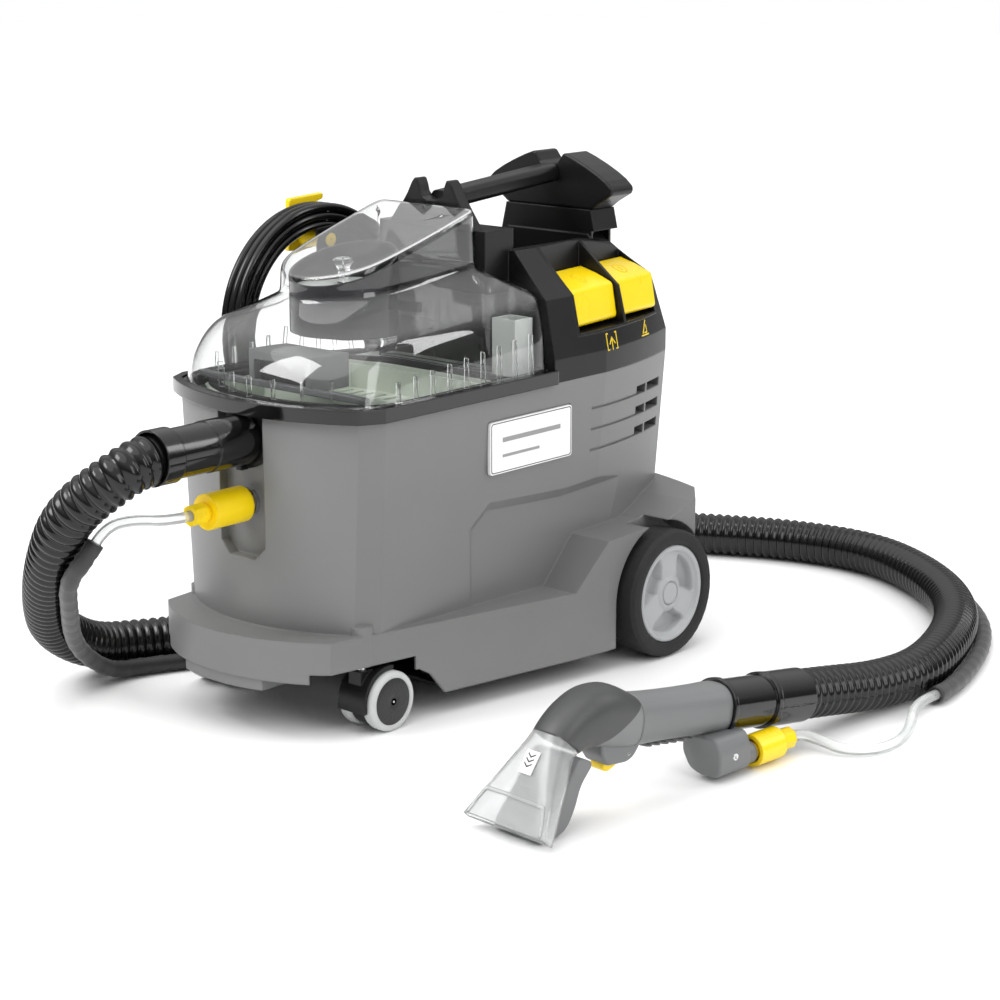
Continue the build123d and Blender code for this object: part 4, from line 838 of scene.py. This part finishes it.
# ---------------------------------------------------------------- switches, label, marks

SIDE_TURN = math.radians(7.7)
TURN_CENTRE = (105.0, 78.0)


def side_turned(x, y, z):
    dx, dy = x - TURN_CENTRE[0], y - TURN_CENTRE[1]
    c, s = math.cos(SIDE_TURN), math.sin(SIDE_TURN)
    return Vector(mm(TURN_CENTRE[0] + c * dx - s * dy, TURN_CENTRE[1] + s * dx + c * dy, z))


def make_rocker(name, y0, y1):
    """A folded yellow key with soft edges and a plain ring-and-bar mark."""
    outline = rounded([(67.6, 348.2), (86, 342.6), (102.4, 335.4), (107.3, 306), (102.5, 302.8), (84, 315),
                       (70, 340)], 3.0, 4)
    mesh = prism_mesh(name, outline, y0 + 0.3, y1 - 0.3, lambda x, z, y: side_turned(x, y, z))
    piece = new_piece(name + "_cap", mesh, "yellow", body=name + "_key", bevel=0.0024, segments=4)
    slope = math.atan2(335.2 - 346.6, 101.6 - 72)
    base = Vector((87.5, (y0 + y1) / 2, 341.8))

    def on_face(u, v, lift):
        return side_turned(base.x + u * math.cos(slope) - lift * math.sin(slope), base.y + v,
                           base.z + u * math.sin(slope) + lift * math.cos(slope))

    sunk, raised = -0.6, 0.45
    work = bmesh.new()
    section = ((6.2, sunk), (6.4, raised), (7.4, raised), (7.6, sunk))
    ring_skin(work, [[on_face(u, v, lift) for u, v in circle(r, 48)] for r, lift in section], loop=True)
    bar = ((-3, -0.6), (3, -0.6), (3, 0.6), (-3, 0.6))
    ring_skin(work, [[on_face(u, v, lift) for u, v in bar] for lift in (sunk, raised)])
    new_piece(name + "_mark", finish_mesh(name + "_mark", work), "yellow", body=name + "_key",
              smooth=False)
    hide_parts(name)


def on_surface(node, y, z, lift):
    """The point of a node's outer face beside (y, z), in millimetres, lifted off it."""
    hit, place, normal, _ = NODES[node].ray_cast(Vector(mm(300, y, z)), Vector((-1, 0, 0)))
    if not hit:
        place, normal = Vector(mm(100, y, z)), Vector((1, 0, 0))
    return place + normal * (lift / 1000)


def strokes_on(name, node, centre, strokes, width, finish):
    """Thin raised strokes laid on a node's side face, each a list of (along, up) points in millimetres."""
    work = bmesh.new()
    cy, cz = centre
    for stroke in strokes:
        for (a0, b0), (a1, b1) in zip(stroke, stroke[1:]):
            length = math.hypot(a1 - a0, b1 - b0)
            ea, eb = (a1 - a0) / length * width / 2, (b1 - b0) / length * width / 2
            plan = [(a0 - eb - ea, b0 + ea - eb), (a1 - eb + ea, b1 + ea + eb), (a1 + eb + ea, b1 - ea + eb),
                    (a0 + eb - ea, b0 - ea - eb)]
            levels = (-0.3, 0.35)
            ring_skin(work, [[on_surface(node, cy + a, cz + b, lift) for a, b in plan] for lift in levels])
    new_piece(name, finish_mesh(name, work), finish, smooth=False)


def make_marks():
    """Two plain signs under the rockers: a jet between brackets, and a rising bar in a frame."""
    jet = [[(-6, -7), (-8, -7), (-8, 7), (-6, 7)], [(6, -7), (8, -7), (8, 7), (6, 7)], [(0, -7), (0, 3)],
           [(-4, -2), (0, 3), (4, -2)]]
    rise = [[(-7, -7), (7, -7), (7, 7), (-7, 7), (-7, -7)], [(-4, -5), (4, 5)], [(-1, -5), (4, -5), (4, 1)]]
    strokes_on("jet_sign", "rear_housing", (121, 288), jet, 1.3, "yellow")
    strokes_on("suction_sign", "rear_housing", (183, 291), rise, 1.3, "yellow")


LABEL_FACE = 116.0             # how far out the label's face stands
LABEL_INK = (LABEL_FACE - 0.1, LABEL_FACE + 0.15)


def make_label():
    """A white plate with a thin border and two neutral bars."""
    y0, y1, z0, z1 = -45.7, 61.7, 195.3, 240.7

    def frame_line(edge, radius):
        corners = [(y0 + edge, z0 + edge), (y1 - edge, z0 + edge), (y1 - edge, z1 - edge),
                   (y0 + edge, z1 - edge)]
        return rounded(corners, radius)

    plate = prism_mesh("plate", frame_line(0, 3.5), 112.6, LABEL_FACE, across_x)
    piece = new_piece("plate", plate, "label_white", bevel=0.0004)
    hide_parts("label_plate")
    under, over = LABEL_INK
    outer, inner = frame_line(1.2, 3), frame_line(1.9, 2.6)
    section = ((under, outer), (over, outer), (over, inner), (under, inner))
    work = bmesh.new()
    ring_skin(work, [[across_x(y, z, x) for y, z in line] for x, line in section], loop=True)
    new_piece("plate_border", finish_mesh("plate_border", work), "ink", smooth=False)
    work = bmesh.new()
    box_into(work, under, over, -30, 46, 222, 226)
    box_into(work, under, over, -30, 18, 209, 211.5)
    new_piece("plate_bars", finish_mesh("plate_bars", work), "ink_pale", smooth=False)


# ---------------------------------------------------------------- hand tool

TOOL_TURN = math.radians(-4.8)


MOUTH_X, MOUTH_Y = 345, -294       # where the tool's mouth stands on the floor


def tool_point(x, s, z):
    """The place x to the right of the tool's middle plane and s back from its mouth, in millimetres."""
    c, d = math.cos(TOOL_TURN), math.sin(TOOL_TURN)
    return Vector(mm(MOUTH_X + c * x - d * s, MOUTH_Y + d * x + c * s, z))


def in_tool(s, z, x):
    return tool_point(x, s, z)


def between(a, b, c, d, t):
    """The smooth value at t between b and c, with a before them and d after them."""
    bend = (2 * a - 5 * b + 4 * c - d) * t ** 2 + (3 * b - a - 3 * c + d) * t ** 3
    return 0.5 * (2 * b + (c - a) * t + bend)


def smooth_between(keys, steps):
    """Smoothly interpolates rows of numbers."""
    rows = [keys[0]] + list(keys) + [keys[-1]]
    made = []
    for k in range(1, len(rows) - 2):
        four = list(zip(*rows[k - 1:k + 3]))
        made += [tuple(between(*values, n / steps) for values in four) for n in range(steps)]
    made.append(tuple(keys[-1]))
    return made


def tool_ring(s, z, tilt, width, depth):
    """A rounded section square to an axis that falls by tilt degrees towards the mouth."""
    fall = math.radians(tilt)
    up = Vector((0, -math.sin(fall), math.cos(fall)))
    return [tool_point(u, s + up.y * v, z + up.z * v) for u, v in soft_oblong(width / 2, depth / 2, 2.5, 48)]


# Key sections of the tool: how far back, how high, tilt in degrees, width, depth.
GRIP = [(232, 51.1, -7.7, 40, 40), (222, 52.5, -7.7, 40, 40), (205, 54.8, -7.7, 37.5, 39),
        (170, 59.5, -7.7, 36.5, 38.5), (145, 62.9, -7.7, 38, 39.5), (129.3, 65.1, -7.7, 40, 41)]
NECK = [(128.7, 65.3, -7.7, 40, 41), (117, 69.6, -9, 42, 46), (103, 74.6, -8, 43, 49), (88, 77, 3, 43, 46),
        (74, 74.6, 18, 41, 41), (63, 70, 36, 39, 36.5), (55.5, 65.2, 50, 37.4, 33.5)]


def skinned_tube(name, keys, steps, wall):
    """A closed tube through the key sections, hollow inside."""
    rows = smooth_between(keys, steps)
    outer = [tool_ring(*row) for row in rows]
    inner = [tool_ring(s, z, tilt, width - wall, depth - wall) for s, z, tilt, width, depth in reversed(rows)]
    work = bmesh.new()
    ring_skin(work, outer + inner, loop=True)
    return finish_mesh(name, work)


def make_tool():
    """The hand tool, from its grip to its mouth."""
    grip = new_piece("grip", skinned_tube("grip", GRIP, 5, 6), "tool_grey")
    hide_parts("tool_handle")
    neck = new_piece("neck", skinned_tube("neck", NECK, 6, 7), "tool_neck_shell")
    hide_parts("tool_neck")
    make_pod()
    make_grip_ribs()
    make_trigger()
    make_nozzle()


def make_pod():
    """The swelling under the neck that holds the trigger."""
    outline = rounded([(136, 56), (136, 47), (128, 38), (121, 35.5), (99, 37.5), (92, 48), (92, 60),
                       (130, 64)],
                      4, 4)
    mesh = prism_mesh("trigger_pod", outline, -12, 12, in_tool)
    new_piece("trigger_pod", mesh, "tool_grey", bevel=0.003, segments=4)


def make_grip_ribs():
    """Seven oblong ribs under the grip."""
    work = bmesh.new()
    for k in range(7):
        s = 150 + 9.5 * k
        z = 62.2 - 0.135 * (s - 133) - 19.4
        made = bmesh.ops.create_icosphere(work, subdivisions=2, radius=1.0)["verts"]
        for vert in made:
            x, y, h = vert.co
            vert.co = tool_point(9 * x, s + 2.2 * y + 1.2 * x, z + 1.9 * h)
    new_piece("grip_ribs", finish_mesh("grip_ribs", work), "tool_grey")


def make_trigger():
    """The yellow trigger, hung at its rear end, with room above it to be squeezed."""
    outline = rounded([(98.5, 33.5), (104, 30.5), (112, 33), (118, 36.5), (125.5, 38), (125.5, 43.6),
                       (118, 44.2), (99, 40)], 3, 5)
    mesh = prism_mesh("trigger_blade", outline, -7, 7, in_tool)
    blade = new_piece("trigger_blade", mesh, "yellow", body="trigger_key", bevel=0.002, segments=4)
    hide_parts("trigger")


NOZZLE_TOP, NOZZLE_MOUTH = Vector((0, 54.4, 65.1)), Vector((0, 4, 8))


def nozzle_point(share, u, v):
    """A point of the nozzle: share of the way down, u across and v out of its front face."""
    heading = (NOZZLE_MOUTH - NOZZLE_TOP).normalized()
    front = heading.cross(Vector((1, 0, 0)))
    place = NOZZLE_TOP + (NOZZLE_MOUTH - NOZZLE_TOP) * share + front * v
    return tool_point(u, place.y, place.z)


# Key sections of the fan: share of the way down, half width, half depth, squareness.
NOZZLE_KEYS = [(-0.02, 17.5, 15.3, 3.0), (0.12, 19.5, 14.6, 3.4), (0.42, 27, 12, 5.0), (0.75, 36.5, 8.4, 7.0),
               (0.97, 43.4, 5.8, 9.0)]


def make_nozzle():
    """The clear fan, with its ridge, its plate and the cover over the spray jet."""
    rings = []
    for share, half, depth, power in smooth_between(NOZZLE_KEYS, 5):
        rings.append([nozzle_point(share, u, v) for u, v in soft_oblong(half, depth, power, 72)])
    work = bmesh.new()
    ring_skin(work, rings, first=False, last=False)
    fan = new_piece("fan", finish_mesh("fan", work), "frosted")
    add_wall(fan, 0.002)
    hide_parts("nozzle")
    make_nozzle_frame()
    make_nozzle_plate()
    make_nozzle_cover()


def make_nozzle_frame():
    """The raised ridge across the fan near its mouth."""
    line = smooth_between([(0.93, -38.0), (0.70, -31.0), (0.66, -24.0), (0.66, 24.0), (0.70, 31.0),
                           (0.93, 38.0)],
                          6)
    strip = []
    for share, u in line:
        depth = 12 - 6.4 * (share - 0.42) / 0.58
        lower, inward = share + 0.035, u * 0.97
        strip.append([nozzle_point(share, u, depth - 0.5), nozzle_point(share, u, depth + 1.3),
                      nozzle_point(lower, inward, depth + 0.9), nozzle_point(lower, inward, depth - 0.9)])
    work = bmesh.new()
    ring_skin(work, strip)
    new_piece("fan_ridge", finish_mesh("fan_ridge", work), "frosted")


def plate_level(share, lift):
    """How far out the small plate's face stands, which sinks a little towards the mouth."""
    return lift - 7.2 * (share - 0.2)


def make_nozzle_plate():
    """The small plate on the fan, with three chevrons that point at the mouth."""
    outline = [(-6.5, 0.20), (6.5, 0.20), (6.5, 0.44), (-6.5, 0.44)]
    work = bmesh.new()
    ring_skin(work, [[nozzle_point(share, u, plate_level(share, lift)) for u, share in outline]
                     for lift in (13.9, 15.2)])
    new_piece("fan_plate", finish_mesh("fan_plate", work), "label_white", smooth=False,
              bevel=0.0005)
    work = bmesh.new()
    for k in range(3):
        share = 0.26 + 0.05 * k
        level = plate_level(share, 15.5)
        for way in (-1, 1):
            plan = [(0, share), (way * 4, share - 0.035), (way * 4, share - 0.018), (0, share + 0.017)]
            ring_skin(work, [[nozzle_point(down, u, v) for u, down in plan] for v in (level - 0.5, level)])
    new_piece("fan_chevrons", finish_mesh("fan_chevrons", work), "ink", smooth=False)


def make_nozzle_cover():
    """The grey cover over the spray jet, behind the fan."""
    outline = rounded([(72, 51), (58, 36), (52, 20), (44, 7), (33, 2), (15, 2), (17, 8), (36, 30), (58, 58)],
                      6, 5)
    mesh = prism_mesh("jet_cover", outline, -24, 24, in_tool)
    cover = new_piece("jet_cover", mesh, "tool_grey", bevel=0.004, segments=4)
    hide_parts("nozzle_back")


def make_valve():
    """The valve under the grip, with its fixing screw and its port."""
    outline = rounded([(-7.5, 37), (-7.5, 20), (0, 8), (10, 4.5), (27, 4.5), (32.5, 10), (32.5, 26),
                       (27, 37)], 4, 4)
    mesh = prism_mesh("valve_case", outline, 203.5, 240.7, lambda x, z, s: tool_point(x, s, z))
    case = new_piece("valve_case", mesh, "tool_grey", bevel=0.0025, segments=4)
    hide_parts("valve_block")
    head = ((0.4, 32.9), (2.6, 32.9), (3.0, 32.7), (3.0, 31), (0.4, 31))
    work = bmesh.new()
    ring_skin(work, [[tool_point(out, 222 + u, 20 + v) for u, v in circle(r, 24)] for r, out in head],
              loop=True)
    new_piece("valve_screw", finish_mesh("valve_screw", work), "steel")
    bore = ((236, 9), (250, 9), (250, 7.2), (236, 7.2))
    work = bmesh.new()
    ring_skin(work, [[tool_point(22 + u, s, 15 + v) for u, v in circle(r, 40)] for s, r in bore], loop=True)
    split_edges(new_piece("valve_port", finish_mesh("valve_port", work), "tool_grey"))


def make_hook():
    """The yellow cable hook: a round post and a deep upright plate with a hooked top."""
    outline = rounded([(-21, 358), (10, 358), (9, 392), (12, 399), (24, 402), (24, 407.4), (-19, 405.5),
                       (-20, 385)], 3, 4)
    mesh = prism_mesh("hook_plate", outline, -152.8, -147, across_x)
    plate = new_piece("hook_plate", mesh, "yellow", body="hook", bevel=0.0012, segments=3)
    post = lathe_mesh("hook_post", [(1, -150), (8, -150), (8, -118.5), (4, -118.2), (4, -114), (6.4, -113.9),
                                    (6.4, -113.2), (1, -113)], (0, -2, 369), steps=64)
    split_edges(new_piece("hook_post", post, "yellow", body="hook"))
    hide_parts("cable_hook")


# ---------------------------------------------------------------- rests

def mirrored(half):
    """An outline made from its right half, which runs from the bottom to the top."""
    return half + [(-x, z) for x, z in reversed(half)]


def make_rests():
    """The forked front rest and the winged rear rest of the carrying bar."""
    horn = mirrored([(52, 386), (44, 397), (36, 408), (29, 418), (23.5, 428), (20.5, 431.6), (17, 431.6),
                     (14.6, 426), (13, 420), (9.5, 416), (4, 414)])
    mesh = prism_mesh("front_rest", horn, 9, 22, across_y)
    front = new_piece("front_rest", mesh, "black_satin", smooth=False, bevel=0.0014,
                      segments=3)
    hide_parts("front_saddle")
    wing = mirrored([(50, 394), (58, 400), (72, 408), (74, 411), (73, 415), (66, 421), (56, 427), (44, 433),
                     (30, 439), (20, 442.6), (16, 442.6), (13.5, 439), (10, 434.5), (4, 432)])
    mesh = prism_mesh("rear_rest", wing, 167, 199, across_y)
    rear = new_piece("rear_rest", mesh, "black_satin", smooth=False, bevel=0.0022, segments=3)
    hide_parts("rear_saddle")


# ---------------------------------------------------------------- all together

place_camera()
light_scene()
make_materials()
lay_floor(MATERIALS["floor"])
make_hose()
make_spray_hose()
make_sleeve()
make_mains()
paint_nodes()
make_lid()
make_tower_cap()
for side, name in ((1, "right"), (-1, "left")):
    make_wheel(side, name)
    make_caster(side, name)
make_rocker("rocker_spray", 78.0, 146.0)
make_rocker("rocker_suction", 152.0, 215.0)
make_marks()
make_label()
make_tool()
make_valve()
make_hook()
make_rests()
